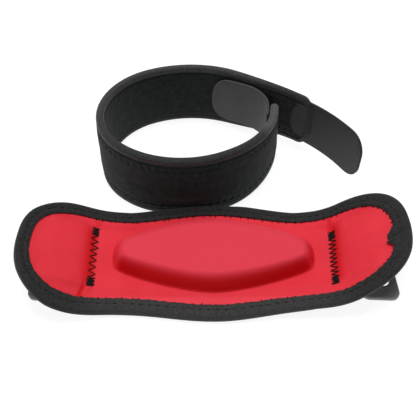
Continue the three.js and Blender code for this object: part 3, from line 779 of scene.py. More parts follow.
def tape_finish(name, dark, light, paint_light):
    """Fine ribbed stretch tape: ribs along it, crossed by a finer rib, with cloudy wear. The last argument
    takes its finish, its shade, the cloudy wear and the distance along it, and gives the shade with painted
    light."""
    finish = Finish(name, {"Roughness": 0.78, "Specular IOR Level": 0.35})
    finish.wear({"Sheen Weight": 0.2, "Sheen Roughness": 0.4})
    u, v = finish.cut()
    rib = (u * RIB_ALONG).sine() * (v * RIB_ACROSS).sine() * 0.5 + 0.5
    cloudy = finish.range(finish.noise(TAPE_CLOUD_CELLS, 3, 0.6), 0.32, 0.68)
    fuzz = finish.noise(TAPE_FUZZ_CELLS, 2)
    shade = finish.mix(cloudy * 0.6 + rib * 0.2 + fuzz * 0.2, dark, light)
    relief = rib * 0.4 + fuzz * 0.3 + cloudy * 0.3
    finish.surface(paint_light(finish, shade, cloudy, u), relief, TAPE_RELIEF, 0.7)
    return finish


def painted_light_near(finish, shade, cloudy, u):
    """Painted light on the pad's tape: it is painted paler along the middle of its near edge, by a smooth
    share of the distance from one point along it, less where it isn't cloudy."""
    share = 1.0 - finish.range((u - NEAR_LIGHT_AT).size(), NEAR_LIGHT_FULL, NEAR_LIGHT_TO)
    return finish.mix(share * (cloudy * 0.6 + 0.4), shade, TAPE_PAINTED_LIGHT)


def ripples(walked, waves):
    """Slow ripples along a tape: a sine of the distance for each wave's turns and phase, added up."""
    return sum(np.sin(walked * turns + phase) for turns, phase in waves)


def pad_tape_shape(along, side, walked, past_tip, inset, lift):
    """The pad's tape: a groove under the stitches, an edge that dips to the cloth, slow ripples, a fuller
    roll at the right tip, and there a tongue of the overlap with a slanting step and a crease across it."""
    outer = np.clip((inset - PAD_TAPE_NOSE) / (PAD_TAPE_COVER - PAD_TAPE_NOSE), 0, 1)
    nose = np.clip((PAD_TAPE_NOSE - inset) / (PAD_TAPE_NOSE + PAD_TAPE_BULGE), 0, 1)
    off_strap = np.abs(along - PAD_LENGTH / 2 + STRAP_MEETS_AT)
    by_strap = (side > 0) * (1 - smoothstep(off_strap, *STRAP_MEETS))
    tip = between(past_tip, *TIP_ROLL_SPAN)
    left = smoothstep(PAD_LENGTH / 2 - along, LEFT_DRAWN_FROM, LEFT_DRAWN_TO)
    roll = nose * (PAD_TAPE_BULGE * by_strap - PAD_TAPE_TIP_BULGE * tip + PAD_TAPE_LEFT_DRAWN * left)
    top = lift > 0
    tongue = JOIN_TONGUE * between(past_tip, *JOIN_SPAN) * outer * top
    groove = STITCH_GROOVE * bell(inset - STITCH_INSET, STITCH_GROOVE_WIDTH)
    dimple = 1 - STITCH_DIMPLE + STITCH_DIMPLE * np.cos(walked / STITCH_PITCH * 2 * np.pi)
    edge = TAPE_EDGE_DIP * smoothstep(inset, PAD_TAPE_COVER - TAPE_EDGE_RUN, PAD_TAPE_COVER)
    ripple = RIPPLE * outer * top * ripples(walked, RIPPLE_WAVES)
    lap = past_tip - JOIN_LAP_AT - (inset - JOIN_LAP_INSET) * JOIN_LAP_SLANT
    step = JOIN_LAP * between(lap, *JOIN_LAP_SPAN) * top
    crease = JOIN_CREASE * bell(lap, JOIN_CREASE_WIDTH) * top
    crease = crease * smoothstep(inset, JOIN_CREASE_FROM, JOIN_CREASE_FULL)
    drawn = (groove * dimple + edge) * (np.abs(lift) > PAD_REST - TAPE / 2) + crease
    return tongue + roll, np.sign(lift) * (step - drawn + ripple)


pad_tape_finish = tape_finish("charcoal_tape", TAPE_DARK, TAPE_LIGHT, painted_light_near)
pad_tape_section = tape_section(PAD_TAPE_COVER, PAD_TAPE_NOSE, PAD_TAPE_BULGE, PAD_REST, TAPE)
binding = tape(
    "pad_binding_tape",
    PAD,
    on_pad,
    pad_tape_section,
    PAD_TAPE_STATIONS,
    pad_tape_shape,
    pad_tape_finish,
)
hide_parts("pad_binding")


def stitch_rows(name, piece, place, count, inset, lifts, pitch, length, radius, finish, unsewn=0.0):
    """Rows of lockstitch round a flat piece, one row at each lift: short threads that follow the edge
    at an inset, bowed by the root of a half sine out of the cloth, none nearer the far tip than unsewn."""
    along, _, walked, _ = outline_of(piece, count)
    total = walked[-1] + walked[1]
    stitches = int(total / pitch)
    starts = np.arange(stitches) * (total / stitches)
    starts = starts[np.abs(starts + length / 2 - walked[count - 1]) >= unsewn]
    bow = STITCH_BOW * np.sin(np.linspace(0, np.pi, STITCH_STEPS)) ** 0.5 - STITCH_SUNK
    at = (starts[:, None] + np.linspace(0, length, STITCH_STEPS)) % total
    station = np.interp(at, walked, along, period=total)
    over = np.where(at < walked[count - 1], 1, -1)
    rail, half = edge_point(piece, station, inset)
    paths, ups = [], []
    for lift in lifts:
        sense = np.sign(lift)
        paths.append(place(rail, over * half, lift + sense * radius * bow))
        ups.append(sense * (place(rail, over * half, lift + UP_STEP) - place(rail, over * half, lift)))
    return threads(name, np.concatenate(paths), unit(np.concatenate(ups)), radius, finish)


pad_stitch_lift = PAD_REST - STITCH_GROOVE / 2
pad_stitches = stitch_rows(
    "pad_binding_stitches",
    PAD,
    on_pad,
    PAD_TAPE_STATIONS,
    STITCH_INSET,
    (pad_stitch_lift, -pad_stitch_lift),
    STITCH_PITCH,
    STITCH_LENGTH,
    STITCH_THREAD,
    thread_finish,
)


def edge_ticks(name, count, finish, seed):
    """Short stitches over the tape's inner edge, nearly square to it: they leave the tape at one inset, bow
    over its edge by the root of a half sine and go down into the lining a little further in."""
    chance = np.random.default_rng(seed)
    along, _, walked, _ = outline_of(PAD, count)
    total = walked[-1] + walked[1]
    ticks = int(total / TICK_PITCH)
    drift = chance.uniform(-TICK_DRIFT, TICK_DRIFT, (ticks, 1))
    at = (np.arange(ticks)[:, None] + drift) * total / ticks % total
    share = np.linspace(0, 1, STITCH_STEPS)
    reach_in = chance.uniform(*TICK_UNEVEN, (ticks, 1)) * TICK_REACH
    inset = PAD_TAPE_COVER - TICK_START + (TICK_START + reach_in) * share
    slanted = (at + chance.uniform(-TICK_SLANT, TICK_SLANT, (ticks, 1)) * share) % total
    station = np.interp(slanted, walked, along, period=total)
    over = np.where(slanted < walked[count - 1], 1, -1)
    rail, half = edge_point(PAD, station, inset)
    down = smoothstep(share, *TICK_DOWN)
    lift = (PAD_REST - TICK_SUNK) * (1 - down) + lining_face(rail, over * half) * down
    lift = lift + TICK_RADIUS * (TICK_BOW * np.sin(share * np.pi) ** 0.5 - 1.0)
    paths = on_pad(rail, over * half, lift)
    ups = unit(on_pad(rail, over * half, lift + UP_STEP) - paths)
    shown = station[:, 0] > TICKS_FROM
    return threads(name, paths[shown], ups[shown], TICK_RADIUS, finish)


edge_stitches = edge_ticks("pad_edge_stitches", PAD_TAPE_STATIONS, thread_finish, TICK_SEED)
pad_edge_length = outline_of(PAD, PAD_TAPE_STATIONS)[2][-1]


# The rings: two oblong loops of moulded black plastic for the strap to pass through. Each is held by its
# inner bar, and their outer bars droop to the ground under the pad's ends.
RING_ACROSS, RING_ALONG, RING_WALL = 0.0554, 0.020, 0.003
RING_INNER_BAR, RING_OUTER_BAR, RING_SIDE_BAR = 0.004, 0.0037, 0.0078
RING_CORNER, RING_SLOT_CORNER = 0.0045, 0.0042
RING_BAR_REACH, RING_BAR_HEIGHT = 0.076, 0.00285
RING_DROOP = np.radians(3.6)
RING_SECTION_POWER, RING_SECTION_SIDES = 4.5, 32
GRAIN_CELLS, SMUDGE_CELLS, GRAIN_RELIEF = 5200, 110, 0.00004
PLASTIC_DARK, PLASTIC_LIGHT = (0.175, 0.175, 0.177, 1), (0.225, 0.225, 0.228, 1)


def rounded_rectangle(low_x, low_y, high_x, high_y, corner, steps=9):
    """Points round a rectangle with a quarter circle at each corner."""
    turn = np.linspace(0, np.pi / 2, steps)
    angle = np.concatenate([turn + quarter * np.pi / 2 for quarter in range(4)])
    x = np.repeat([high_x - corner, low_x + corner, low_x + corner, high_x - corner], steps)
    y = np.repeat([high_y - corner, high_y - corner, low_y + corner, low_y + corner], steps)
    return np.stack([x + corner * np.cos(angle), y + corner * np.sin(angle)], axis=-1)


def ring_points():
    """The ring about its inner bar: between the outer and the slot outline, a superellipse section as
    wide as the bar there and as high as the wall."""
    outer = rounded_rectangle(
        -RING_INNER_BAR / 2,
        -RING_ACROSS / 2,
        RING_ALONG - RING_INNER_BAR / 2,
        RING_ACROSS / 2,
        RING_CORNER,
    )
    slot = rounded_rectangle(
        RING_INNER_BAR / 2,
        RING_SIDE_BAR - RING_ACROSS / 2,
        RING_ALONG - RING_INNER_BAR / 2 - RING_OUTER_BAR,
        RING_ACROSS / 2 - RING_SIDE_BAR,
        RING_SLOT_CORNER,
    )
    turn = np.arange(RING_SECTION_SIDES) / RING_SECTION_SIDES * 2 * np.pi
    wide = signed_power(np.cos(turn), 2 / RING_SECTION_POWER)
    high = signed_power(np.sin(turn), 2 / RING_SECTION_POWER) * RING_WALL / 2
    plan = (outer + slot)[:, None] / 2 + (outer - slot)[:, None] / 2 * wide[:, None]
    return np.concatenate([plan, np.broadcast_to(high[:, None], plan.shape[:2] + (1,))], axis=-1)


ring_finish = Finish("moulded_black", {"Roughness": 0.42, "Specular IOR Level": 0.45})
grain = ring_finish.noise(GRAIN_CELLS, 2)
smudge = ring_finish.range(ring_finish.noise(SMUDGE_CELLS, 3), 0.35, 0.75)
moulded = ring_finish.mix(smudge * 0.6 + grain * 0.4, PLASTIC_DARK, PLASTIC_LIGHT)
ring_finish.wear({"Roughness": smudge * 0.14 + grain * 0.08 + 0.34})
ring_finish.surface(moulded, grain, GRAIN_RELIEF, 0.5)

ring_local = ring_points()
ring_x = RING_BAR_REACH + ring_local[..., 0] * np.cos(RING_DROOP) + ring_local[..., 2] * np.sin(RING_DROOP)
ring_z = RING_BAR_HEIGHT - ring_local[..., 0] * np.sin(RING_DROOP) + ring_local[..., 2] * np.cos(RING_DROOP)
ring_quads = quads_of(*ring_local.shape[:2], True, True)
ring_flat = ring_local[..., :2].reshape(-1, 2)
for end, side in (("left", -1), ("right", 1)):
    placed = MIDDLE + np.stack([side * ring_x, side * ring_local[..., 1] + RING_SLID, ring_z], axis=-1)
    ring = make_piece(f"strap_ring_{end}", placed.reshape(-1, 3), ring_quads, ring_flat, ring_finish)
    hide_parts(f"ring_{end}")


# The ring tabs: a strip of black webbing doubled round each ring's inner bar. Both ends are sewn flat
# under the pad by the zigzag seam.
RING_TAB_WALL, RING_TAB_WIDTH = 0.0009, 0.034
RING_TAB_FROM, RING_TAB_TO = 0.059, 0.067
RING_TAB_LOOP_X, RING_TAB_LOOP_Z, RING_TAB_CORNER = 0.00289, 0.00227, 0.0009
RING_TAB_COLUMNS, RING_TAB_END_POWER = 61, 80
UPPER_PLY, LOWER_PLY, PLY_GAP = 0.5, 1.53, 0.0001
WEFT_TURNS, CHEVRON_TURNS, CHEVRON_DEPTH = 6.0, 2.2, 2.4
YARN_CELLS, WEBBING_RELIEF = 2400, 0.00018
WEBBING_DARK, WEBBING_LIGHT = (0.008, 0.008, 0.0085, 1), (0.020, 0.020, 0.021, 1)


def smooth_line(points, rounds=3):
    """A line of points with its corners cut: each step puts points a quarter and three quarters along
    every segment and keeps both ends."""
    for _ in range(rounds):
        first = 0.75 * points[:-1] + 0.25 * points[1:]
        second = 0.25 * points[:-1] + 0.75 * points[1:]
        cut = np.stack([first, second], axis=1).reshape(-1, points.shape[-1])
        points = np.concatenate([points[:1], cut, points[-1:]])
    return points


def run_along(line):
    """Distance walked at each point of a line: the lengths of the steps before it, added up."""
    return np.concatenate([[0], np.cumsum(np.linalg.norm(np.diff(line, axis=0), axis=-1))])


def webbing_line(legs):
    """Middle line of the doubled webbing in the side view: out under the seam, round the bar and back."""

    def sewn(reach, lift):
        """The pad's side view at some reaches from its middle, lifted off the middle of its layers."""
        x, rise, heading = walk((0, 0, 0), legs, np.array(reach))
        lift = np.full(len(reach), lift)
        return np.stack([x - lift * np.sin(heading), PAD_REST + rise + lift * np.cos(heading)], axis=-1)

    under = -PAD_HALF_CORE - GAP
    out = [RING_TAB_FROM, (RING_TAB_FROM + RING_TAB_TO) / 2, RING_TAB_TO]
    x, z, corner = RING_TAB_LOOP_X, RING_TAB_LOOP_Z, RING_TAB_CORNER
    loop = [(-x + corner, -z), (x - corner, -z), (x, -z + corner)]
    loop += [(x, z - corner), (x - corner, z), (-x + corner, z)]
    loop = np.array(loop) + (RING_BAR_REACH, RING_BAR_HEIGHT)
    lower = sewn(out, under - LOWER_PLY * RING_TAB_WALL - PLY_GAP)
    upper = sewn(out[::-1], under - UPPER_PLY * RING_TAB_WALL)
    return smooth_line(np.concatenate([lower, loop, upper]))


webbing_finish = Finish("black_webbing", {"Roughness": 0.85, "Sheen Weight": 0.15})
u, v = webbing_finish.cut()
herringbone = (u * WEFT_TURNS + (v * CHEVRON_TURNS).sine() * CHEVRON_DEPTH).wave()
yarn = webbing_finish.noise(YARN_CELLS, 2)
woven = webbing_finish.mix(herringbone * 0.6 + yarn * 0.4, WEBBING_DARK, WEBBING_LIGHT)
webbing_finish.surface(woven, herringbone * 0.7 + yarn * 0.3, WEBBING_RELIEF, 0.8)

ring_tab_across = np.linspace(RING_TAB_WIDTH / 2, -RING_TAB_WIDTH / 2, RING_TAB_COLUMNS)
for end, side, legs in (("left", -1, LEFT_LEGS), ("right", 1, RIGHT_LEGS)):
    line = webbing_line(legs)
    ahead = unit(np.gradient(line, axis=0))
    facing = np.stack([-ahead[:, 1], ahead[:, 0]], axis=-1)
    run = run_along(line)
    ends = np.sqrt(1 - (2 * run / run[-1] - 1) ** RING_TAB_END_POWER)[:, None]
    half = RING_TAB_WALL / 2 * rim(RING_TAB_COLUMNS, power=60) * ends
    faces = []
    for sense in (1, -1):
        x, z = (line[:, None, k] + sense * half * facing[:, None, k] for k in (0, 1))
        y = np.broadcast_to(ring_tab_across, x.shape)
        faces.append(MIDDLE + np.stack([side * x, y, z], axis=-1))
    flat = np.stack(np.broadcast_arrays(run[:, None], ring_tab_across), axis=-1)
    webbing = cloth(f"ring_tab_webbing_{end}", *faces, flat, webbing_finish)
    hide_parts(f"ring_tab_{end}")


# The strap's band: a long strip of soft black loop pile on both faces, which stands on its edge as an
# open loop behind the pad. Its tail is pressed flat where the outer hook tab is sewn to it.
STRAP_START = (0.0364, 0.0926, np.radians(-89.2))
STRAP_LEGS = [(0.0418, -43.5), (0.0418, -46.1), (0.0395, -42.2), (0.0413, -61.0)]
STRAP_LEGS += [(0.0401, -53.4), (0.0529, -48.0), (0.0284, -2.9), (0.0673, -40.0)]
STRAP_FLARE, STRAP_FLARE_FROM, STRAP_FLARE_TO = 0.040, 0.120, 0.180
STRAP_FULLER, STRAP_FULLER_AT, STRAP_FULLER_RUN = 0.0007, 0.108, 0.036
PRESSED_IN, PRESSED_AT, PRESSED_RUN, PRESSED_FROM, PRESSED_FULL = 0.0020, 0.0845, 0.015, 0.0040, 0.0115
BAND_LENGTH, BAND_HALF_WIDTH, BAND_HALF_CORE = 0.315, 0.0206, 0.0015
BAND_END_HALF, BAND_TAPER_RUN = 0.0176, 0.055
BAND_FRONT_CAP, BAND_CAP, BAND_CAP_POWER = 0.0045, 0.009, 2.2
BAND_ROWS, BAND_COLUMNS = 561, 67
BAND_EDGE = TAPE + GAP
PILE_EDGE_HALF, PILE_SWELL, PILE_SWELL_FROM, PILE_SWELL_TO = 0.0012, 0.00135, 0.0028, 0.0058
PILE_LUMPS_FROM, PILE_LUMPS_FULL = 0.0042, 0.0070
TAIL_PRESSED, TAIL_PRESSED_FROM, TAIL_PRESSED_TO = 0.80, 0.006, 0.034
PILE_LUMP, PILE_LUMP_SIZE = 0.00020, 0.0045
LUMP_NET, OUTER_PILE_SEED, INNER_PILE_SEED = 64, 11, 23
BAND_STITCH_INSET, BAND_STITCH_PITCH = 0.0072, 0.0042
BAND_STITCH_DIMPLE, BAND_STITCH_WIDTH = 0.0005, 0.0012
BOBBIN_DRAWN, BOBBIN_SUNK = 0.4, 0.0002
PATCH_FROM, PATCH_HALF, PATCH_SINK = 0.2995, 0.0122, 0.0002
PATCH_ROUND, PATCH_EASE, PATCH_SIDE_EASE = 0.004, 0.0015, 0.001
PILE_DARK, PILE_MID = (0.0080, 0.0094, 0.0095, 1), (0.0200, 0.0228, 0.0230, 1)
PILE_LIGHT = (0.043, 0.0480, 0.0484, 1)
MATTED_CELLS, LOOP_CELLS, FIBRE_CELLS, PILE_RELIEF = 380, 1700, 5200, 0.0006
# A cooler tint painted on the loop's front, against the red light that the pad throws on it.
FRONT_TINT, FRONT_FACE, FRONT_FROM, FRONT_TO = (0.54, 1.0, 1.0, 1), (-0.006, 0.044, 0.008), 0.018, 0.070
TAPE_COOLED = 0.25
PATCH_DARK, PATCH_LIGHT = (0.042, 0.0442, 0.0445, 1), (0.053, 0.0555, 0.056, 1)


def on_strap(along, across, lift):
    """Place on the strap: along its plan path, down its width from mid height, and lifted outwards. The
    front of the loop leans out by a share of the distance down its width, its left side is fuller by a
    bell of the distance along, and its foot is pressed in by another where it meets the pad."""
    along, across, lift = np.broadcast_arrays(along, across, lift)
    x, y, heading = walk(STRAP_START, STRAP_LEGS, along)
    lean = STRAP_FLARE * (1 - smoothstep(along, STRAP_FLARE_FROM, STRAP_FLARE_TO))
    fuller = STRAP_FULLER * bell(along - STRAP_FULLER_AT, STRAP_FULLER_RUN)
    pressed = PRESSED_IN * bell(along - PRESSED_AT, PRESSED_RUN)
    pressed = pressed * smoothstep(across, PRESSED_FROM, PRESSED_FULL)
    lift = lift + lean * (across + BAND_HALF_WIDTH) + fuller - pressed
    place = [x - lift * np.sin(heading), y + lift * np.cos(heading), BAND_HALF_WIDTH - across]
    return MIDDLE + np.stack(place, axis=-1)


def band_half(along):
    """Half the band's width: even, and narrowed by a smoothstep towards both ends."""
    from_end = np.minimum(along, BAND_LENGTH - along)
    full = smoothstep(from_end, BAND_CAP, BAND_CAP + BAND_TAPER_RUN)
    return BAND_END_HALF + (BAND_HALF_WIDTH - BAND_END_HALF) * full


BAND = {
    "length": BAND_LENGTH,
    "caps": (BAND_FRONT_CAP, BAND_CAP),
    "power": BAND_CAP_POWER,
    "half": band_half,
}


def lumps(first, second, size, seed):
    """Smooth noise from -1 to 1 over two distances: random values on a square net of the given size,
    with an eased blend of the four round each point."""
    net = np.random.default_rng(seed).uniform(-1, 1, (LUMP_NET, LUMP_NET))
    i, j = np.floor(first / size).astype(int), np.floor(second / size).astype(int)
    s, t = smoothstep(first / size - i, 0, 1), smoothstep(second / size - j, 0, 1)
    corner = [[net[(i + a) % LUMP_NET, (j + b) % LUMP_NET] for b in (0, 1)] for a in (0, 1)]
    near = (1 - t) * corner[0][0] + t * corner[0][1]
    far = (1 - t) * corner[1][0] + t * corner[1][1]
    return (1 - s) * near + s * far


def patch_share(along, across):
    """1 over the pressed patch at the band's tail and 0 elsewhere, eased over its edges. Its front goes
    back by the square of the distance from the middle."""
    front = PATCH_FROM + PATCH_ROUND * (across / PATCH_HALF) ** 2
    beside = smoothstep(np.abs(across), PATCH_HALF - PATCH_SIDE_EASE, PATCH_HALF)
    return smoothstep(along, front, front + PATCH_EASE) * (1 - beside)


def pile_height(along, across, seed, drawn):
    """Height of the pile on one face of the band: swollen between the bound edges, drawn in at each
    stitch, matted into soft lumps, and pressed flat at the tail."""
    from_edge = edge_point(BAND, along, 0)[1] - np.abs(across)
    tail = 1 - smoothstep(BAND_LENGTH - along, TAIL_PRESSED_FROM, TAIL_PRESSED_TO)
    swell = PILE_SWELL * smoothstep(from_edge, PILE_SWELL_FROM, PILE_SWELL_TO) * (1 - TAIL_PRESSED * tail)
    row = bell(from_edge - BAND_STITCH_INSET, BAND_STITCH_WIDTH)
    dimple = BAND_STITCH_DIMPLE * row * (0.5 + 0.5 * np.cos(along / BAND_STITCH_PITCH * 2 * np.pi))
    matted = lumps(along, across, PILE_LUMP_SIZE, seed)
    pressed = patch_share(along, across)
    full = smoothstep(from_edge, PILE_LUMPS_FROM, PILE_LUMPS_FULL) * (1 - pressed)
    return PILE_EDGE_HALF + swell - drawn * dimple + PILE_LUMP * matted * full - PATCH_SINK * pressed


def cooled_front(finish, shade, most):
    """The front of the loop is painted a little cooler, to take out the red light that the pad throws on it:
    the most at one point, and less with the distance from it."""
    ends = {0: finish.place(), 1: tuple(MIDDLE + np.array(FRONT_FACE))}
    away = finish.node("ShaderNodeVectorMath", {"operation": "DISTANCE"}, ends, "Value")
    return finish.tinted((1.0 - finish.range(away, FRONT_FROM, FRONT_TO)) * most, shade, FRONT_TINT)


pile_finish = Finish("black_pile", {"Roughness": 1.0, "Specular IOR Level": 0.12})
pile_finish.wear({"Sheen Weight": 0.12, "Sheen Roughness": 0.5})
u, v = pile_finish.cut()
matted = pile_finish.range(pile_finish.noise(MATTED_CELLS, 3, 0.6), 0.34, 0.68)
loops = pile_finish.noise(LOOP_CELLS, 3, 0.65)
fibres = pile_finish.noise(FIBRE_CELLS, 2)
pile_shade = pile_finish.mix(matted * 0.7 + loops * 0.3, PILE_DARK, PILE_MID)
tufts = pile_finish.range(loops * 0.7 + fibres * 0.3, 0.50, 0.75)
pile_shade = pile_finish.mix(tufts, pile_shade, PILE_LIGHT)
pile_shade = cooled_front(pile_finish, pile_shade, 1.0)
patch_half = PATCH_HALF * MM
patch_front = v * v * (PATCH_ROUND * MM / patch_half**2) + PATCH_FROM * MM
patch = pile_finish.range(u - patch_front, 0.0, PATCH_EASE * MM)
patch = patch * (1.0 - pile_finish.range(v.size(), patch_half - PATCH_SIDE_EASE * MM, patch_half))
patch_shade = pile_finish.mix(loops * 0.5 + fibres * 0.5, PATCH_DARK, PATCH_LIGHT)
pile_shade = pile_finish.mix(patch, pile_shade, patch_shade)
pile_finish.surface(pile_shade, (loops * 0.65 + fibres * 0.35) * (1.0 - patch * 0.8), PILE_RELIEF, 0.8)

along, across, band_area = flat_grid(BAND, BAND_EDGE, BAND_ROWS, BAND_COLUMNS)
band_rim = rim(BAND_COLUMNS, power=40)
outer_pile = pile_height(along, across, OUTER_PILE_SEED, 1.0) * band_rim
inner_pile = pile_height(along, across, INNER_PILE_SEED, BOBBIN_DRAWN) * band_rim
band = laid("strap_band_pile", on_strap, (along, across), (outer_pile, -inner_pile), pile_finish)
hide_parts("strap_band")


# The strap's binding: the same charcoal tape, narrower, rolled over the band's edge all the way round.
# One row of lockstitch runs just inside it on both faces of the band.
BAND_TAPE_COVER, BAND_TAPE_NOSE, BAND_TAPE_WALL = 0.0039, 0.0023, 0.0007
BAND_TAPE_STATIONS = 381
BAND_OUTSIDE = BAND_HALF_CORE + GAP + TAPE
BAND_ROLL = 0.0023
BAND_TAPE_FALL = 0.00025
STRAP_RIPPLE, STRAP_RIPPLE_WAVES = 0.00007, ((730, 0.0), (1210, 0.7), (350, 0.0))
BAND_STITCH_LENGTH, BAND_STITCH_THREAD = 0.0022, 0.00024
STRAP_TAPE_DARK, STRAP_TAPE_LIGHT = (0.0062, 0.0066, 0.0067, 1), (0.0365, 0.0375, 0.0377, 1)
TAIL_COVER_LOSS, TAIL_FLAT, TAIL_FROM, TAIL_RUN = 0.0010, 0.0004, 0.020, 0.034
# A paler colour painted on the front tip and along the far rim of the strap's tape: painted light.
FRONT_TIP_PAINTED_LIGHT, FRONT_TIP_FROM, FRONT_TIP_FULL = (0.085, 0.087, 0.087, 1), 292, 306
FAR_RIM_SHARE, FAR_RIM_AT, FAR_RIM_FULL, FAR_RIM_TO = 0.35, 458, 45, 90
TAIL_UNSEWN = 0.020


def band_tape_shape(along, side, walked, past_tip, inset, lift):
    """The strap's tape: from the roll at the band's edge it falls to the pile, with slow ripples, and it
    is narrower and flatter round the tail."""
    outer = np.clip((inset - BAND_TAPE_NOSE) / (BAND_TAPE_COVER - BAND_TAPE_NOSE), 0, 1)
    tail = 1 - smoothstep(np.abs(past_tip), TAIL_FROM, TAIL_FROM + TAIL_RUN)
    fall = BAND_TAPE_FALL * smoothstep(outer, 0, 1)
    ripple = STRAP_RIPPLE * outer * ripples(walked, STRAP_RIPPLE_WAVES)
    flatter = TAIL_FLAT * tail * (1 - outer) * np.abs(lift) / BAND_ROLL
    return -TAIL_COVER_LOSS * tail * outer, np.sign(lift) * (ripple - fall - flatter)


def painted_light_tip(finish, shade, cloudy, u):
    """Painted light on the strap's tape: it is painted pale at the tip of its front end, and a little along
    the far rim, each by a smooth share of a distance along it; its front is then tinted cooler."""
    from_tail = (u - band_edge_length * MM / 2).size()
    from_far = (u - FAR_RIM_AT).size()
    share = finish.range(from_tail, FRONT_TIP_FROM, FRONT_TIP_FULL)
    share = share + (1.0 - finish.range(from_far, FAR_RIM_FULL, FAR_RIM_TO)) * FAR_RIM_SHARE
    brightened = finish.mix(share * (cloudy * 0.5 + 0.5), shade, FRONT_TIP_PAINTED_LIGHT)
    return cooled_front(finish, brightened, TAPE_COOLED)


band_edge_length = outline_of(BAND, BAND_TAPE_STATIONS)[2][-1]
band_tape_finish = tape_finish("charcoal_strap_tape", STRAP_TAPE_DARK, STRAP_TAPE_LIGHT, painted_light_tip)
band_tape_section = tape_section(BAND_TAPE_COVER, BAND_TAPE_NOSE, 0.0, BAND_ROLL, BAND_TAPE_WALL)
band_binding = tape(
    "strap_binding_tape",
    BAND,
    on_strap,
    band_tape_section,
    BAND_TAPE_STATIONS,
    band_tape_shape,
    band_tape_finish,
)
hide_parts("strap_binding")
swell_at_stitches = PILE_SWELL * smoothstep(BAND_STITCH_INSET, PILE_SWELL_FROM, PILE_SWELL_TO)
band_stitch_lift = float(PILE_EDGE_HALF + swell_at_stitches - BAND_STITCH_DIMPLE / 2)
band_stitches = stitch_rows(
    "strap_stitches",
    BAND,
    on_strap,
    BAND_TAPE_STATIONS,
    BAND_STITCH_INSET,
    (band_stitch_lift, BOBBIN_SUNK - band_stitch_lift),
    BAND_STITCH_PITCH,
    BAND_STITCH_LENGTH,
    BAND_STITCH_THREAD,
    thread_finish,
    TAIL_UNSEWN,
)
tape_width(BAND_TAPE_COVER, BAND_TAPE_NOSE, BAND_ROLL)


# The hook tabs: stiff grey hook tape with a rounded tip at each end of the strap. The outer one runs on
# from the tail; the inner one leaves the front end, bridges across and sticks to the loop's inside.
TAB_HALF, TAB_WALL, TAB_CAP, TAB_CAP_POWER = 0.0156, 0.0016, 0.013, 2.4
TAB_SEWN, TAB_LEAN_TO, TAB_REACH = 0.012, 0.030, 0.0417
TAB_SEAT = BAND_OUTSIDE + GAP + TAB_WALL / 2
TAB_ROOT_TUCK, TAB_HOLLOW_RUN = 0.0016, 0.014
INNER_LANDS_AT, INNER_TIP_AT, INNER_BRIDGE = 0.268, 0.246, 0.008
TAB_ROWS, TAB_CAP_ROWS, TAB_COLUMNS = 60, 31, 61
TAB_ROUND, TAB_BLUNT = 0.0008, 0.4
SEAT_STEPS, BRIDGE_STEPS, BACK_STEPS, INNER_TAB_STEPS = 40, 120, 60, 240
HOOK_PITCH, LINT_CELLS, HOOK_CLOUD_CELLS, HOOK_RELIEF = 1.25, 900, 90, 0.00012
# The two tabs are one hook tape in lit and shaded copies: the inner tab's colours are painted lighter and
# the outer tab's painted darker, as painted light and shade.
INNER_HOOK_DARK, INNER_HOOK_LIGHT = (0.038, 0.038, 0.0385, 1), (0.062, 0.062, 0.063, 1)
OUTER_HOOK_DARK, OUTER_HOOK_LIGHT = (0.011, 0.011, 0.0113, 1), (0.020, 0.020, 0.0204, 1)


def hook_finish(name, dark, light):
    """Hook tape: a square field of small hooks, the product of two sine waves, dulled by lint."""
    finish = Finish(name, {"Roughness": 0.6, "Specular IOR Level": 0.35, "Sheen Weight": 0.1})
    u, v = finish.cut()
    turns = 2 * np.pi / HOOK_PITCH
    hooks = finish.range((u * turns).sine() * (v * turns).sine(), 0.1, 0.8)
    lint = finish.noise(LINT_CELLS, 3)
    cloudy = finish.noise(HOOK_CLOUD_CELLS, 2)
    shade = finish.mix(cloudy * 0.5 + lint * 0.3 + hooks * 0.2, dark, light)
    finish.surface(shade, hooks * 0.7 + lint * 0.3, HOOK_RELIEF, 0.5)
    return finish


def tab_half(along):
    """Half a hook tab's width, the same all along."""
    return np.full(np.shape(along), TAB_HALF)


def tab_piece(name, length, place, finish):
    """A hook tab: a flat strip with a square root and a superellipse tip, carried by a placing function. Its
    wall is rounded at the tip and the root by the root of 1 less a square, and blunt at the very root."""
    shape = {"length": length, "caps": (0.0, TAB_CAP), "power": TAB_CAP_POWER, "half": tab_half}
    rounded = length - TAB_CAP + TAB_CAP * np.sin(np.linspace(0, np.pi / 2, TAB_CAP_ROWS))
    rows = np.concatenate([[0], np.linspace(0, length - TAB_CAP, TAB_ROWS)[:-1], rounded])
    along, half = edge_point(shape, rows, 0)
    across = half[:, None] * np.linspace(-1, 1, TAB_COLUMNS)
    along = np.broadcast_to(along[:, None], across.shape)
    root = np.maximum(np.sqrt(1 - (1 - np.clip(along / TAB_ROUND, 0, 1)) ** 2), TAB_BLUNT)
    root[0] = 0
    tip = np.sqrt(1 - np.clip((along - length + TAB_ROUND) / TAB_ROUND, 0, 1) ** 2)
    thick = TAB_WALL / 2 * rim(TAB_COLUMNS, power=60) * root * tip
    made = laid(name, place, (along, across), (thick, -thick), finish)
    return made


def on_outer_tab(along, across, lift):
    """The outer tab runs on from the band; its root is hollowed by the superellipse of the band's tail."""
    share = np.clip(np.abs(across) / BAND_END_HALF, 0, 1)
    hollow = BAND_CAP * (1 - (1 - share**BAND_CAP_POWER) ** (1 / BAND_CAP_POWER))
    kept = 1 - smoothstep(along, 0, TAB_HOLLOW_RUN)
    return on_strap(BAND_LENGTH - TAB_ROOT_TUCK + along - hollow * kept, across, lift)


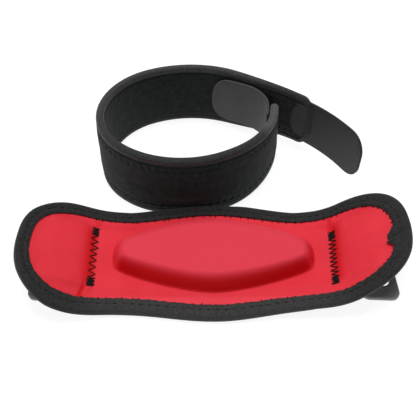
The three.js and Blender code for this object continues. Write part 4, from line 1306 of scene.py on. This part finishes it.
def inner_tab_line(count):
    """Plan of the inner tab: back along the inside of the front end, a cubic curve across the loop, then
    along the inside of its back. Gives its length, and places at even steps."""
    seat_out = on_strap(np.linspace(TAB_SEWN, 0, SEAT_STEPS), 0, -TAB_SEAT)[:, :2]
    seat_back = on_strap(np.linspace(INNER_LANDS_AT, INNER_TIP_AT, BACK_STEPS), 0, -TAB_SEAT)[:, :2]
    t = np.linspace(0, 1, BRIDGE_STEPS)[1:-1, None]
    leaving = seat_out[-1] + unit(seat_out[-1] - seat_out[-2]) * INNER_BRIDGE
    landing = seat_back[0] - unit(seat_back[1] - seat_back[0]) * INNER_BRIDGE
    bridge = (1 - t) ** 3 * seat_out[-1] + 3 * (1 - t) ** 2 * t * leaving
    bridge = bridge + 3 * (1 - t) * t**2 * landing + t**3 * seat_back[0]
    line = np.concatenate([seat_out, bridge, seat_back])
    run = run_along(line)
    even = np.linspace(0, run[-1], count)
    return run[-1], even, np.stack([np.interp(even, run, line[:, k]) for k in (0, 1)], axis=-1)


inner_length, inner_run, inner_line = inner_tab_line(INNER_TAB_STEPS)
inner_ahead = unit(np.gradient(inner_line, axis=0))


def on_inner_tab(along, across, lift):
    """Place on the inner tab: along its plan line, down its width, and lifted to the left of the line.
    Where it is sewn on it leans as the band's front end does, by a share of the distance down."""
    lift = lift - STRAP_FLARE * across * (1 - smoothstep(along, TAB_SEWN, TAB_LEAN_TO))
    x, y = (np.interp(along, inner_run, inner_line[:, k]) for k in (0, 1))
    ahead_x, ahead_y = (np.interp(along, inner_run, inner_ahead[:, k]) for k in (0, 1))
    return np.stack([x - lift * ahead_y, y + lift * ahead_x, BAND_HALF_WIDTH - across], axis=-1)


outer_length = TAB_REACH + TAB_ROOT_TUCK
outer_finish = hook_finish("hook_tape_painted_shaded", OUTER_HOOK_DARK, OUTER_HOOK_LIGHT)
outer_tab = tab_piece("hook_tape_outer", outer_length, on_outer_tab, outer_finish)
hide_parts("hook_tab_outer")
inner_finish = hook_finish("hook_tape_painted_lit", INNER_HOOK_DARK, INNER_HOOK_LIGHT)
inner_tab = tab_piece("hook_tape_inner", float(inner_length), on_inner_tab, inner_finish)
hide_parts("hook_tab_inner")
